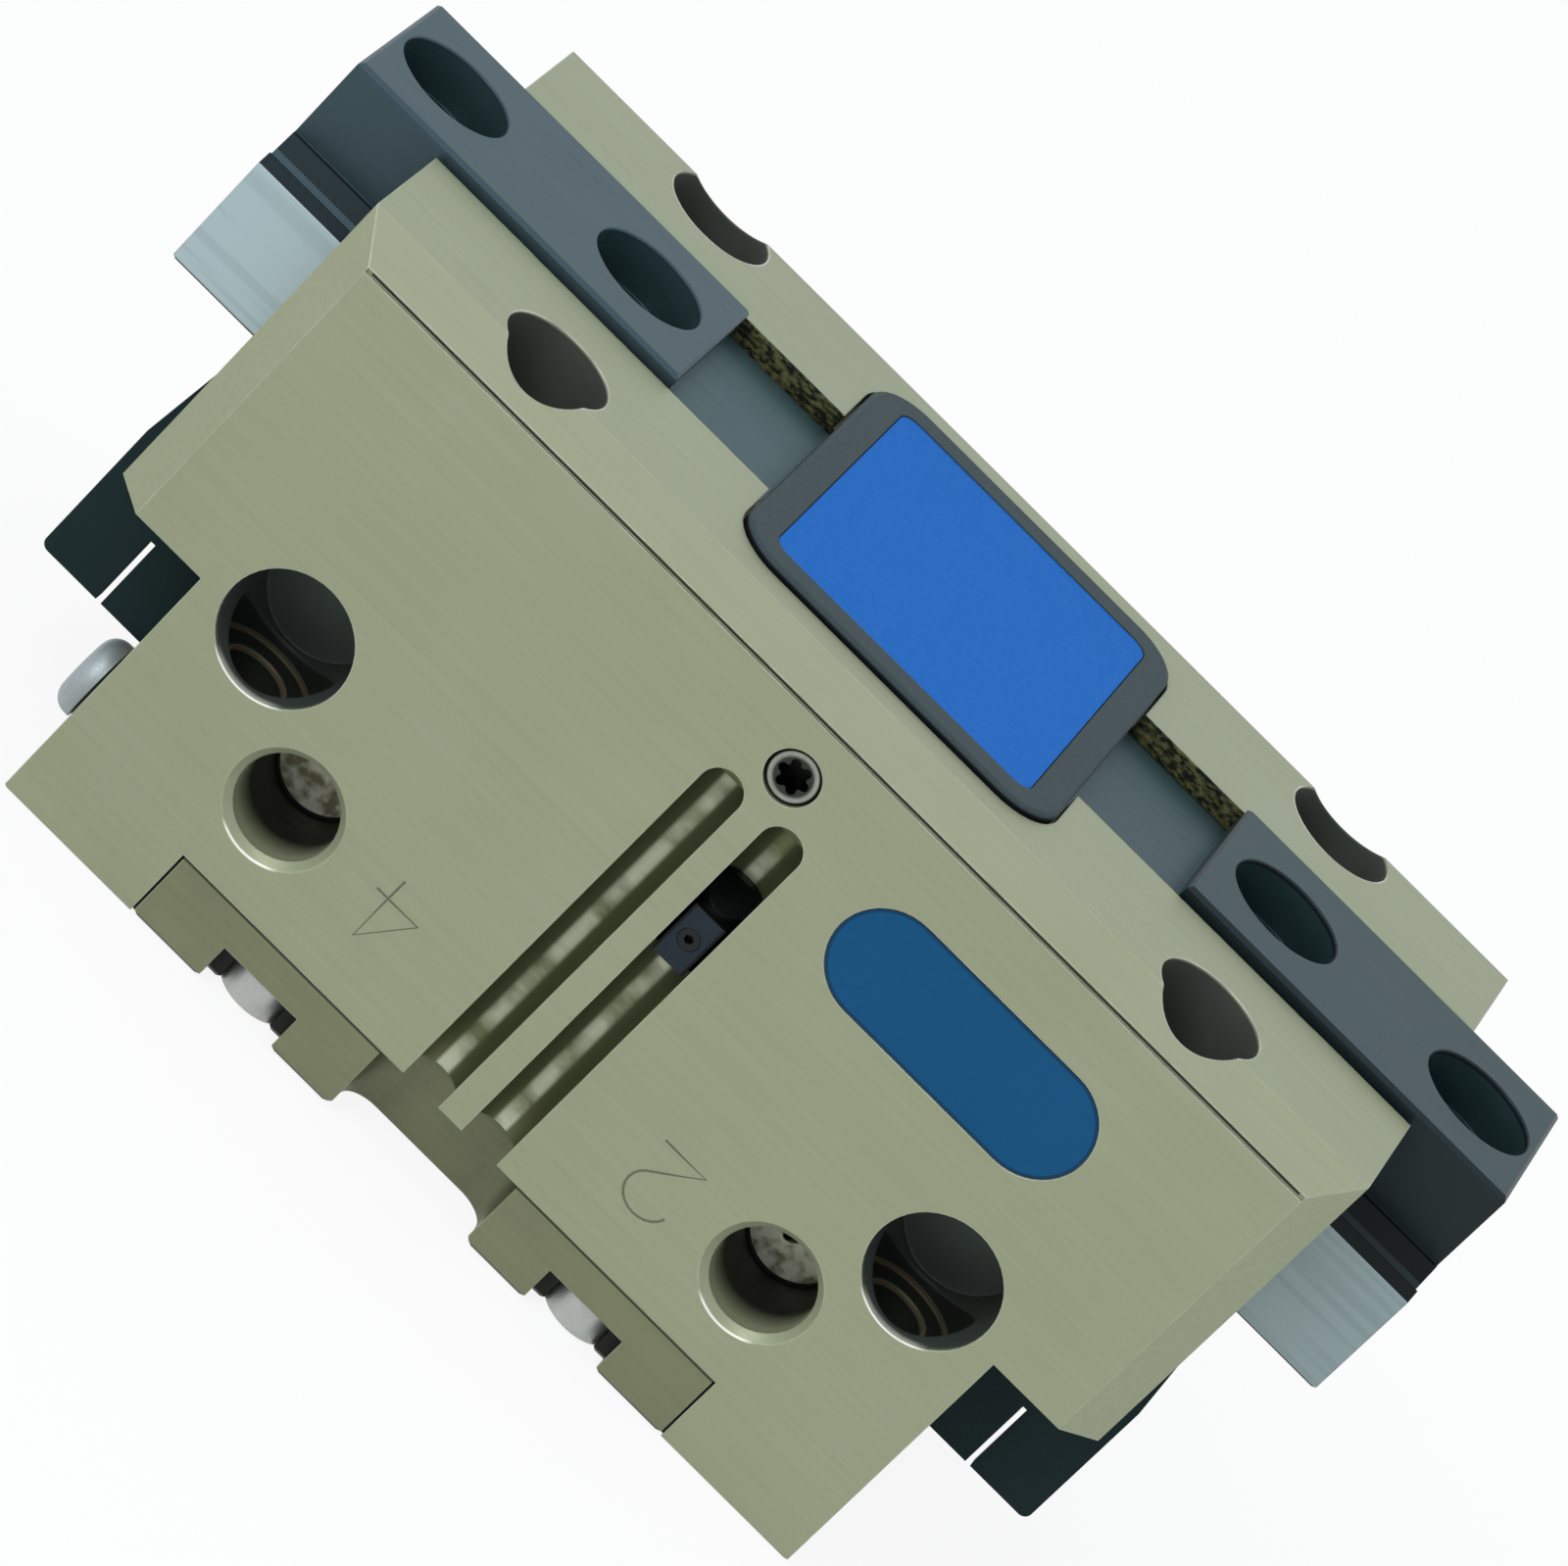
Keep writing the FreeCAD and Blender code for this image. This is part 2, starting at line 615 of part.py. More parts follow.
def lower_block():
    """Narrower lower part of the housing, with the cut-out that takes the bottom cover."""
    half = BODY_DEPTH / 2
    base = block(-BASE_END, BASE_END, -half, half, 0, level(STEP_DEPTH))
    base = base.makeChamfer(BASE_CHAMFER, edges_at(base, 0))
    side = COVER_LENGTH / 2 + COVER_GAP
    cut_out = block(-side, side, -half - THROUGH, half + THROUGH, -THROUGH, COVER_HEIGHT)
    return base.cut(cut_out)


def jaw_channel():
    """Toothed guide for both jaws, and the open channel above it."""
    guide = jaw_outline(GUIDE_GAP).extrude(Vector(BODY_LENGTH + 2 * THROUGH, 0, 0))
    guide.translate(Vector(-BODY_END - THROUGH, 0, 0))
    half = CHANNEL_WIDTH / 2
    opening = block(-BODY_END - THROUGH, BODY_END + THROUGH, -half, half,
                    level(FIRST_CREST_DEPTH + TOOTH_RELIEF), BODY_HEIGHT + THROUGH)
    return [guide, opening]


def hook_pocket():
    """Room below the jaws for the hook at the bottom of its stroke, and the rod hole in its floor."""
    reach = JAW_INNER_X - HOOK_FLANK_GAP + HOOK_HEIGHT * WEDGE_TAN + HOOK_NECK_REACH + HOOK_FLANGE_REACH
    length = 2 * (reach + HOOK_POCKET_SIDE_GAP)
    depth = HOOK_CORE_WIDTH + 2 * HOOK_POCKET_SIDE_GAP
    pocket = rounded_block(length, depth, level(POCKET_FLOOR_DEPTH), level(JAW_BOTTOM_DEPTH) + THROUGH,
                           HOOK_POCKET_RADIUS)
    passage = rod(ROD_RADIUS + ROD_GAP, Vector(0, 0, level(CEILING_DEPTH) - THROUGH),
                  Vector(0, 0, level(POCKET_FLOOR_DEPTH) + THROUGH))
    middle = level((POCKET_FLOOR_DEPTH + CEILING_DEPTH) / 2)
    groove = rod(ROD_RADIUS + ROD_SEAL_DEPTH, Vector(0, 0, middle - ROD_SEAL_WIDTH / 2),
                 Vector(0, 0, middle + ROD_SEAL_WIDTH / 2))
    return [pocket, passage, groove]


def mount_holes():
    """Screw holes from the top, with deep counterbores, and the cross holes that meet them."""
    corner = Vector(MOUNT_X, -MOUNT_Y, BODY_HEIGHT + THROUGH)
    seat = Vector(MOUNT_X, -MOUNT_Y, level(MOUNT_SEAT_DEPTH))
    counterbore = rod(MOUNT_HEAD_R, seat, corner)
    hole = rod(MOUNT_HOLE_R, Vector(MOUNT_X, -MOUNT_Y, -THROUGH), corner)
    height = level(CROSS_HOLE_DEPTH)
    cross = rod(CROSS_HOLE_R, Vector(MOUNT_X, FRONT - THROUGH, height),
                Vector(MOUNT_X, FRONT + CROSS_HOLE_LENGTH, height))
    tools = []
    for shape in (counterbore, hole, cross):
        tools += at_four_corners(shape)
    return tools


def air_ports():
    """Two threaded ports in the front, each with a slanted air hole to one end of the cylinder."""
    tools = []
    for side, rise in ((-1, AIR_HOLE_RISE), (1, -AIR_HOLE_DROP)):
        x = side * PORT_X
        z = level(PORT_DEPTH)
        face = Vector(x, FRONT, z)
        floor = Vector(x, FRONT + PORT_LENGTH, z)
        rim = Vector(x, FRONT + PORT_CHAMFER, z)
        lean = PORT_X - BORE_CENTRES / 2 - AIR_HOLE_ENTRY
        target = floor + Vector(-side * lean, AIR_HOLE_LEAN_Y, rise)
        tools.append(rod(PORT_R, face, floor))
        tools.append(taper(PORT_R + PORT_CHAMFER, PORT_R, face, rim))
        tools.append(rod(AIR_HOLE_RADIUS, floor, target))
    return tools


def sensor_slot(side):
    """Slot for a round magnetic switch: straight mouth, round end and wider round floor."""
    x = side * SLOT_X
    half = SLOT_WIDTH / 2
    end = level(SLOT_TOP_DEPTH) - half
    floor = FRONT + SLOT_CUT
    centre = floor - SLOT_ROUND_R
    mouth = block(x - half, x + half, FRONT - THROUGH, centre, COVER_HEIGHT - THROUGH, end)
    round_end = rod(half, Vector(x, FRONT - THROUGH, end), Vector(x, centre, end))
    round_floor = rod(SLOT_ROUND_R, Vector(x, centre, COVER_HEIGHT - THROUGH), Vector(x, centre, end))
    return [mouth, round_end, round_floor]


def purge_hole():
    """Threaded hole for the plug screw and the thin hole from it to the jaw guide."""
    z = level(PURGE_DEPTH)
    floor = FRONT + PURGE_SCREW_SINK + PURGE_SCREW_LENGTH
    thread = rod(PURGE_SCREW_R + THREAD_GAP, Vector(0, FRONT - THROUGH, z), Vector(0, floor, z))
    passage = rod(PURGE_HOLE_R, Vector(0, floor - THROUGH, z), Vector(0, THROUGH - CHANNEL_WIDTH / 2, z))
    return [thread, passage]


def oval_plate(length, width, x, depth, y_front, y_back):
    """Plate with half-round ends, lying in the front face."""
    half = (length - width) / 2
    radius = width / 2
    z = level(depth)
    middle = block(x - half, x + half, y_front, y_back, z - radius, z + radius)
    ends = [rod(radius, Vector(x + shift, y_front, z), Vector(x + shift, y_back, z)) for shift in (-half, half)]
    return middle.multiFuse(ends).removeSplitter()


def front_details():
    """Label recess and the thin engraved line under the bevel of the front face."""
    recess = oval_plate(TYPE_LABEL_LENGTH + 2 * LABEL_GAP, TYPE_LABEL_WIDTH + 2 * LABEL_GAP, TYPE_LABEL_X,
                        TYPE_LABEL_DEPTH, FRONT - THROUGH, FRONT + TYPE_LABEL_SINK)
    reach = BODY_END - END_BEVEL
    top = level(BEVEL_DROP)
    line = block(-reach, reach, FRONT - THROUGH, FRONT + BEVEL_LINE_CUT, top - BEVEL_LINE_WIDTH, top)
    return [recess, line]


def cap_pocket():
    """Seat for the top cap in both rails, with its screw holes."""
    seat = level(CAP_SEAT_DEPTH)
    pocket = rounded_block(CAP_LENGTH + 2 * CAP_GAP, CAP_DEPTH + 2 * CAP_GAP, seat, BODY_HEIGHT + THROUGH,
                           CAP_RADIUS + CAP_GAP)
    start = Vector(CAP_SCREW_X, CAP_SCREW_Y, seat)
    holes = at_four_corners(thread_hole(M2, start, Vector(0, 0, -1), CAP_SCREW_GRIP))
    return [pocket] + holes


def sensor_holes():
    """Cam groove in the guide floor, sensor hole and bracket screw thread at each end."""
    floor = level(CAM_FLOOR_DEPTH)
    half = CAM_WIDTH / 2 + CAM_GAP
    start = CAM_CENTRE_X - CAM_LENGTH / 2 - JAW_STROKE - 2 * CAM_GAP
    groove = block(start, BODY_END + THROUGH, SENSOR_Y - half, SENSOR_Y + half,
                   floor, level(JAW_BOTTOM_DEPTH) + GUIDE_GAP)
    hole = rod(SENSOR_BORE_R, Vector(SENSOR_X, SENSOR_Y, level(STEP_DEPTH) - THROUGH),
               Vector(SENSOR_X, SENSOR_Y, floor + THROUGH))
    thread = thread_hole(M4_LOW, bracket_screw_seat(), Vector(0, 0, 1), bracket_screw_grip())
    tools = []
    for shape in (groove, hole, thread):
        tools += on_both_ends(shape)
    return tools


def base_holes():
    """Base ports with their air holes, and tapped holes for the side plug and the cover screws."""
    depth = BASE_SCREW_SINK + BASE_SCREW_LENGTH
    port = rod(BASE_SCREW_R + THREAD_GAP, Vector(BASE_PORT_X, 0, -THROUGH), Vector(BASE_PORT_X, 0, depth))
    tools = on_both_ends(port)
    for side, rise in ((-1, BASE_AIR_RISE_LEFT), (1, BASE_AIR_RISE_RIGHT)):
        start = Vector(side * BASE_PORT_X, 0, depth)
        tools.append(rod(BASE_AIR_HOLE_R, start, start + Vector(-side * BASE_AIR_REACH, 0, rise)))
    grip = SIDE_PLUG_GRIP - WASHER_THICKNESS
    start = Vector(-BASE_END, SIDE_PLUG_Y, level(SIDE_PLUG_DEPTH))
    tools.append(rod(M6[0] + THREAD_GAP, start - Vector(THROUGH, 0, 0), start + Vector(grip, 0, 0)))
    joint = Vector(COVER_SCREW_X, COVER_SCREW_Y, COVER_HEIGHT)
    tools += at_four_corners(rod(M4[0] + THREAD_GAP, joint, joint + Vector(0, 0, COVER_SCREW_GRIP)))
    return tools


def make_housing():
    """One-piece housing with guide, cylinder, ports, slots and screw holes."""
    body = upper_block().fuse(lower_block()).removeSplitter()
    tools = jaw_channel() + hook_pocket() + mount_holes() + air_ports()
    tools.append(stadium(BORE_CENTRES, BORE_RADIUS, COVER_HEIGHT - THROUGH, level(CEILING_DEPTH)))
    tools += sensor_slot(-1) + sensor_slot(1)
    tools += purge_hole() + front_details() + cap_pocket() + sensor_holes() + base_holes()
    return cut_all(body, tools)


def cable_recess(y_face, inward):
    """Recess in the edge of the cover that the sensor cables leave through."""
    half = CABLE_RECESS_WIDTH / 2
    deep = y_face + inward * CABLE_RECESS_DEPTH
    low, high = sorted((y_face - inward * CABLE_RECESS_DEPTH, deep))
    slot = block(-half, half, low, high, -THROUGH, COVER_HEIGHT + THROUGH)
    slot = slot.makeFillet(CABLE_RECESS_RADIUS, upright_edges(slot))
    size = CABLE_RECESS_CHAMFER
    corner = [
        Vector(half - THROUGH, y_face - inward, -THROUGH),
        Vector(half - THROUGH, y_face - inward, size),
        Vector(half, y_face - inward, size),
        Vector(half + size, y_face - inward, 0),
        Vector(half + size, y_face - inward, -THROUGH),
    ]
    chamfer = prism(corner, Vector(0, inward * (CABLE_RECESS_DEPTH / 2 + 1), 0))
    return [slot] + on_both_ends(chamfer)


def make_bottom_cover():
    """Cover that closes the cylinder, flush with the front, back and bottom of the housing."""
    half_length = COVER_LENGTH / 2
    half_depth = BODY_DEPTH / 2
    cover = block(-half_length, half_length, -half_depth, half_depth, 0, COVER_HEIGHT)
    notch = block(COVER_SCREW_X - COVER_NOTCH_WIDTH / 2, COVER_SCREW_X + COVER_NOTCH_WIDTH / 2,
                  half_depth - COVER_NOTCH_REACH, half_depth + THROUGH, -THROUGH, COVER_NOTCH_HEIGHT)
    cover = cut_all(cover, at_four_corners(notch))
    cover = cover.makeChamfer(COVER_EDGE_CHAMFER, edges_at(cover, 0))
    tools = [stadium(BORE_CENTRES, BORE_RADIUS, level(CHAMBER_FLOOR_DEPTH), COVER_HEIGHT + THROUGH)]
    groove_inner = BORE_RADIUS + COVER_SEAL_WALL
    tools.append(stadium_ring(BORE_CENTRES, groove_inner + COVER_SEAL_WIDTH, groove_inner,
                              COVER_HEIGHT - COVER_SEAL_DEPTH, COVER_HEIGHT + THROUGH))
    tools += cable_recess(-half_depth, 1)
    seat = Vector(COVER_SCREW_X, COVER_SCREW_Y, COVER_NOTCH_HEIGHT)
    outside = Vector(COVER_SCREW_X, COVER_SCREW_Y, -THROUGH)
    inside = seat + Vector(0, 0, COVER_HEIGHT)
    for shape in (rod(COVER_HEAD_POCKET_R, outside, seat), rod(M4[0] + THREAD_GAP, seat, inside)):
        tools += at_four_corners(shape)
    return cut_all(cover, tools)


def make_cover_seal():
    """Oval cord in the groove of the bottom cover."""
    inner = BORE_RADIUS + COVER_SEAL_WALL
    return stadium_ring(BORE_CENTRES, inner + COVER_SEAL_WIDTH, inner, COVER_HEIGHT - COVER_SEAL_DEPTH, COVER_HEIGHT)


def make_cover_screws():
    """Four socket screws that hold the bottom cover."""
    seat = Vector(COVER_SCREW_X, COVER_SCREW_Y, COVER_NOTCH_HEIGHT)
    grip = COVER_HEIGHT - COVER_NOTCH_HEIGHT + COVER_SCREW_GRIP
    return at_four_corners(socket_screw(M4, seat, Vector(0, 0, 1), grip))


def cap_screw_seat():
    """Where a cap screw seats inside the cap, right and rear."""
    return Vector(CAP_SCREW_X, CAP_SCREW_Y, level(-CAP_RISE + CAP_LABEL_SINK) - M2[2])


def make_top_cap():
    """Moulded cap over the hook, rounded at the rim and sunk for its label."""
    top = level(-CAP_RISE)
    cap = rounded_block(CAP_LENGTH, CAP_DEPTH, level(CAP_SEAT_DEPTH), top, CAP_RADIUS)
    cap = cap.makeFillet(CAP_EDGE_ROUND, edges_at(cap, top))
    recess = rounded_block(CAP_LABEL_LENGTH + 2 * LABEL_GAP, CAP_LABEL_DEPTH + 2 * LABEL_GAP,
                           top - CAP_LABEL_SINK, top + THROUGH, CAP_LABEL_RADIUS)
    seat = cap_screw_seat()
    head = rod(M2[1] + THREAD_GAP, seat, seat + Vector(0, 0, CAP_RISE + THROUGH))
    shank = rod(M2[0] + THREAD_GAP, seat, seat - Vector(0, 0, CAP_RISE + CAP_SEAT_DEPTH))
    return cut_all(cap, [recess] + at_four_corners(head) + at_four_corners(shank))


def make_cap_label():
    """Blank label in the sunk top of the cap."""
    floor = level(-CAP_RISE + CAP_LABEL_SINK)
    return rounded_block(CAP_LABEL_LENGTH, CAP_LABEL_DEPTH, floor, floor + CAP_LABEL_THICKNESS, CAP_LABEL_RADIUS)


def make_cap_screws():
    """Four small screws under the cap label."""
    seat = cap_screw_seat()
    grip = seat.z - level(CAP_SEAT_DEPTH) + CAP_SCREW_GRIP
    return at_four_corners(socket_screw(M2, seat, Vector(0, 0, -1), grip))


def make_type_label():
    """Blank oval label in the recess of the front face."""
    back = FRONT + TYPE_LABEL_SINK
    return oval_plate(TYPE_LABEL_LENGTH, TYPE_LABEL_WIDTH, TYPE_LABEL_X, TYPE_LABEL_DEPTH,
                      back - TYPE_LABEL_THICKNESS, back)


def make_purge_screw():
    """Plug screw with a six-lobed socket, above the sensor slots."""
    z = level(PURGE_DEPTH)
    start = Vector(0, FRONT + PURGE_SCREW_SINK, z)
    shoulder = start + Vector(0, PURGE_RIM_CHAMFER, 0)
    rim = taper(PURGE_SCREW_R - PURGE_RIM_CHAMFER, PURGE_SCREW_R, start, shoulder)
    plug = rim.fuse(rod(PURGE_SCREW_R, shoulder, start + Vector(0, PURGE_SCREW_LENGTH, 0)))
    deep = Vector(0, PURGE_SOCKET_DEPTH, 0)
    tools = [rod(PURGE_SOCKET_R - PURGE_LOBE_R, start, start + deep)]
    for step in range(6):
        angle = math.radians(60 * step)
        reach = PURGE_SOCKET_R - PURGE_LOBE_R
        centre = start + Vector(reach * math.cos(angle), 0, reach * math.sin(angle))
        tools.append(rod(PURGE_LOBE_R, centre, centre + deep))
    return cut_all(plug, tools)


def stop_screw_start():
    """Middle of the outer end of the stop's set screw."""
    return Vector(SLOT_X, FRONT + STOP_SINK, level((STOP_TOP_DEPTH + STOP_BOTTOM_DEPTH) / 2))


def make_slot_stop():
    """Stop clamped in the right slot: a square head and a tongue that dives to the slot floor."""
    half = SLOT_WIDTH / 2 - STOP_HEAD_GAP
    radius = SLOT_ROUND_R - STOP_GAP
    face = FRONT + STOP_SINK
    floor = FRONT + SLOT_CUT
    centre = floor - SLOT_ROUND_R
    low, high, tip = level(STOP_BOTTOM_DEPTH), level(STOP_TOP_DEPTH), level(STOP_TONGUE_DEPTH)
    head = block(SLOT_X - half, SLOT_X + half, face, centre, low, high)
    body = rod(radius, Vector(SLOT_X, centre, low), Vector(SLOT_X, centre, tip))
    ramp = prism([
        Vector(SLOT_X - SLOT_WIDTH, face, high),
        Vector(SLOT_X - SLOT_WIDTH, face, tip + THROUGH),
        Vector(SLOT_X - SLOT_WIDTH, floor, tip + THROUGH),
        Vector(SLOT_X - SLOT_WIDTH, centre + radius / 2, tip),
    ], Vector(2 * SLOT_WIDTH, 0, 0))
    start = stop_screw_start()
    hole = rod(STOP_SCREW_R + THREAD_GAP, start, start + Vector(0, STOP_SCREW_LENGTH, 0))
    return head.fuse(body).cut(ramp).cut(hole).removeSplitter()


def make_slot_stop_screw():
    """Set screw of the slot stop."""
    start = stop_screw_start()
    screw = rod(STOP_SCREW_R, start, start + Vector(0, STOP_SCREW_LENGTH, 0))
    return screw.cut(hexagon(STOP_SOCKET_R, start, start + Vector(0, STOP_SOCKET_DEPTH, 0)))


def bracket_screw_seat():
    """Where the mounting screw seats under the lug of the right bracket."""
    x = (BASE_END + BODY_END) / 2
    y = BRACKET_REAR_Y + BRACKET_LUG_LENGTH / 2
    return Vector(x, y, level(STEP_DEPTH) - BRACKET_LUG_HEIGHT)


def bracket_screw_grip():
    """Length of the bracket's mounting screw below its head."""
    return 2 * BRACKET_LUG_HEIGHT + THROUGH


def clamp_screw_seat():
    """Where the clamp screw seats, sunk in the outer face of the right bracket."""
    y = BRACKET_FRONT_Y + CLAMP_SCREW_INSET
    return Vector(BRACKET_OUTER_X - M3[2], y, level(CLAMP_SCREW_DEPTH))


def clamp_screw_grip():
    """Length of the clamp screw below its head, ending inside the inner leg."""
    return clamp_screw_seat().x - BASE_END - THROUGH


def bracket_plate():
    """Plate that climbs the right end face of the housing and thins towards its top."""
    y = BRACKET_FRONT_Y
    foot = level(STEP_DEPTH)
    top = level(BRACKET_TOP_DEPTH)
    points = [
        Vector(BODY_END, y, foot - THROUGH),
        Vector(BRACKET_OUTER_X, y, foot - THROUGH),
        Vector(BRACKET_OUTER_X, y, foot),
        Vector(BODY_END + BRACKET_TOP_WALL, y, top),
        Vector(BODY_END, y, top),
    ]
    return prism(points, Vector(0, BRACKET_CLAMP_LENGTH, 0))


def clamp_slits():
    """Narrow slit in front of the right sensor bore and wide gap behind it, both open below."""
    low = level(BRACKET_BOTTOM_DEPTH) - THROUGH
    high = level(CLAMP_SLIT_TOP_DEPTH)
    front = block(SENSOR_X - FRONT_SLIT / 2, SENSOR_X + FRONT_SLIT / 2, BRACKET_FRONT_Y - THROUGH, SENSOR_Y,
                  low, high)
    rear = block(SENSOR_X - REAR_SLIT / 2, SENSOR_X + REAR_SLIT / 2, SENSOR_Y, BRACKET_REAR_Y + THROUGH,
                 low, high)
    return [front, rear]


def make_sensor_bracket():
    """Right sensor bracket: clamp block under the step, lug behind it and plate up the end face."""
    step = level(STEP_DEPTH)
    bottom = level(BRACKET_BOTTOM_DEPTH)
    clamp = block(BASE_END, BRACKET_OUTER_X, BRACKET_FRONT_Y, BRACKET_REAR_Y, bottom, step)
    lower_corners = [edge for edge in edges_at(clamp, bottom) if edge.BoundBox.XLength < 1e-6
                     and edge.BoundBox.XMin > BODY_END]
    clamp = clamp.makeFillet(BRACKET_ROUND, lower_corners)
    lug = block(BASE_END, BODY_END, BRACKET_REAR_Y, BRACKET_REAR_Y + BRACKET_LUG_LENGTH,
                step - BRACKET_LUG_HEIGHT, step)
    bracket = clamp.multiFuse([bracket_plate(), lug]).removeSplitter()
    bore = rod(SENSOR_BORE_R, Vector(SENSOR_X, SENSOR_Y, bottom - THROUGH),
               Vector(SENSOR_X, SENSOR_Y, step + THROUGH))
    seat = clamp_screw_seat()
    pocket = rod(M3[1] + THREAD_GAP, seat, seat + Vector(M3[2] + THROUGH, 0, 0))
    screw_hole = rod(M3[0] + THREAD_GAP, seat, seat - Vector(clamp_screw_grip() + THREAD_GAP, 0, 0))
    mount = bracket_screw_seat()
    mount_hole = rod(M4_LOW[0] + THREAD_GAP, mount, mount + Vector(0, 0, 2 * BRACKET_LUG_HEIGHT))
    return cut_all(bracket, clamp_slits() + [bore, pocket, screw_hole, mount_hole])


def make_bracket_screw():
    """Mounting screw of the right bracket."""
    return socket_screw(M4_LOW, bracket_screw_seat(), Vector(0, 0, 1), bracket_screw_grip())


def make_clamp_screw():
    """Clamp screw of the right bracket."""
    return socket_screw(M3, clamp_screw_seat(), Vector(-1, 0, 0), clamp_screw_grip())


def make_side_plug():
    """Pan-head plug screw in the left end of the lower block."""
    seat = Vector(-BASE_END - WASHER_THICKNESS, SIDE_PLUG_Y, level(SIDE_PLUG_DEPTH))
    tip = seat - Vector(SIDE_PLUG_RISE, 0, 0)
    head = rod(SIDE_PLUG_R, seat, tip)
    rim = [edge for edge in head.Edges if abs(edge.BoundBox.XMax - tip.x) < 1e-6]
    head = head.makeFillet(SIDE_PLUG_ROUND, rim)
    shank = rod(M6[0], seat, seat + Vector(SIDE_PLUG_GRIP, 0, 0))
    socket = hexagon(SIDE_PLUG_SOCKET_R, tip, tip + Vector(SIDE_PLUG_SOCKET_DEPTH, 0, 0))
    return head.fuse(shank).removeSplitter().cut(socket)


def make_side_plug_washer():
    """Sealing washer under the side plug."""
    z = level(SIDE_PLUG_DEPTH)
    start = Vector(-BASE_END - WASHER_THICKNESS, SIDE_PLUG_Y, z)
    end = Vector(-BASE_END, SIDE_PLUG_Y, z)
    return rod(WASHER_R, start, end).cut(rod(M6[0] + THREAD_GAP, start, end))


def make_base_port_screw():
    """Set screw that closes a direct air port in the bottom face."""
    start = Vector(BASE_PORT_X, 0, BASE_SCREW_SINK)
    screw = rod(BASE_SCREW_R, start, start + Vector(0, 0, BASE_SCREW_LENGTH))
    return screw.cut(hexagon(BASE_SOCKET_R, start, start + Vector(0, 0, BASE_SCREW_LENGTH / 2)))


def save(node, solids):
    """Write one node as a STEP file and print its size."""
    shape = Part.makeCompound(solids) if len(solids) > 1 else solids[0]
    loose = [solid for item in solids for solid in item.Solids]
    if len(loose) == 1:
        shape = loose[0]
    shape.exportStep(os.path.join("parts", node + ".step"))
    print(node, len(loose), round(shape.Volume, 1), shape.isValid())


def main():
    """Build every node."""
    os.makedirs("parts", exist_ok=True)
    save("housing", [make_housing()])
    save("bottom_cover", [make_bottom_cover()])
    save("cover_seal", [make_cover_seal()])
    save("cover_screws", make_cover_screws())
    save("rod_seal", [make_rod_seal()])
    save("top_cap", [make_top_cap()])
    save("cap_label", [make_cap_label()])
    save("cap_screws", make_cap_screws())
    save("type_label", [make_type_label()])
    save("purge_screw", [make_purge_screw()])
    save("slot_stop", [make_slot_stop()])
    save("slot_stop_screw", [make_slot_stop_screw()])
    bracket = make_sensor_bracket()
    save("sensor_bracket_right", [bracket])
    save("sensor_bracket_left", [mirror_x(bracket)])
    save("bracket_screws", on_both_ends(make_bracket_screw()))
    save("clamp_screws", on_both_ends(make_clamp_screw()))
    save("side_plug", [make_side_plug()])
    save("side_plug_washer", [make_side_plug_washer()])
    save("base_port_screws", on_both_ends(make_base_port_screw()))
    save("wedge_hook", [make_wedge_hook()])
    save("piston_rod", [make_piston_rod()])
    save("piston", [make_piston()])
    save("piston_seal", [make_piston_seal()])
    save("piston_guide_ring", [make_piston_guide_ring()])
    save("piston_magnets", make_piston_magnets())
    save("piston_screw", [socket_screw(M6, piston_screw_seat(), Vector(0, 0, 1), piston_screw_grip())])
    jaw = make_jaw()
    cam = make_cam()
    cam_screws = make_cam_screws()
    save("jaw_right", [jaw])
    save("jaw_left", [mirror_x(jaw)])
    save("control_cam_right", [cam])
    save("control_cam_left", [mirror_x(cam)])
    save("cam_screws_right", cam_screws)
    save("cam_screws_left", [mirror_x(screw) for screw in cam_screws])


main()
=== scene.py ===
"""Two-jaw parallel gripper: finishes, small added pieces, floor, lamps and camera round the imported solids."""

import logging
import math
from dataclasses import dataclass, field, replace
from enum import Enum
from typing import Any

import bpy
from mathutils import Matrix, Vector


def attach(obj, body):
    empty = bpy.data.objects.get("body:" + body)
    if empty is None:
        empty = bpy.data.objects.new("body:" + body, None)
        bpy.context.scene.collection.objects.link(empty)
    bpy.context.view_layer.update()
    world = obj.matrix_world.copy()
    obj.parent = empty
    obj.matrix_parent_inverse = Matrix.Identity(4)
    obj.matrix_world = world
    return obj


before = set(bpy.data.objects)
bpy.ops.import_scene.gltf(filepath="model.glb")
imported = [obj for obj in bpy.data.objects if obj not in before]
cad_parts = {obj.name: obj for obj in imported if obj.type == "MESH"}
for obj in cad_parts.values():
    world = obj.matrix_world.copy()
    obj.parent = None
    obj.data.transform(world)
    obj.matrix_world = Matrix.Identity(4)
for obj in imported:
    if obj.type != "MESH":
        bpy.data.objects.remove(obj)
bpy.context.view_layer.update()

Tree = bpy.types.NodeTree
Socket = bpy.types.NodeSocket
Colour = tuple[float, float, float, float]
Triple = tuple[float, float, float]
Span = tuple[float, float]

LOG = logging.getLogger("gripper")
MM = 0.001
WHITE: Colour = (1.0, 1.0, 1.0, 1.0)

# Numbers of a colour Mix node's inputs and output, whose names its other types share.
MIX_A, MIX_B, MIX_RESULT = 6, 7, 2

# Levels between which nearly all of a noise lies, and nearly all of the sum of two.
NOISE_LOW, NOISE_HIGH = 0.3, 0.7
SUM_LOW, SUM_HIGH = 0.7, 1.3

# Level above which a noise counts as a speck, so that the specks take a little less than half of a zone.
SPECK_LEVEL = 0.54

# Cosine between the rounded and the flat normal at which an edge starts to get the painted highlight, and gets
# it in full.
BEND_START, BEND_FULL = 0.995, 0.9

# The painted edge highlight comes in patches: their size in millimetres, the noise levels that bound them, and
# its least share.
EDGE_HIGHLIGHT_PATCH = 3.0
EDGE_HIGHLIGHT_LOW, EDGE_HIGHLIGHT_HIGH = 0.35, 0.6
EDGE_HIGHLIGHT_LEAST = 0.3
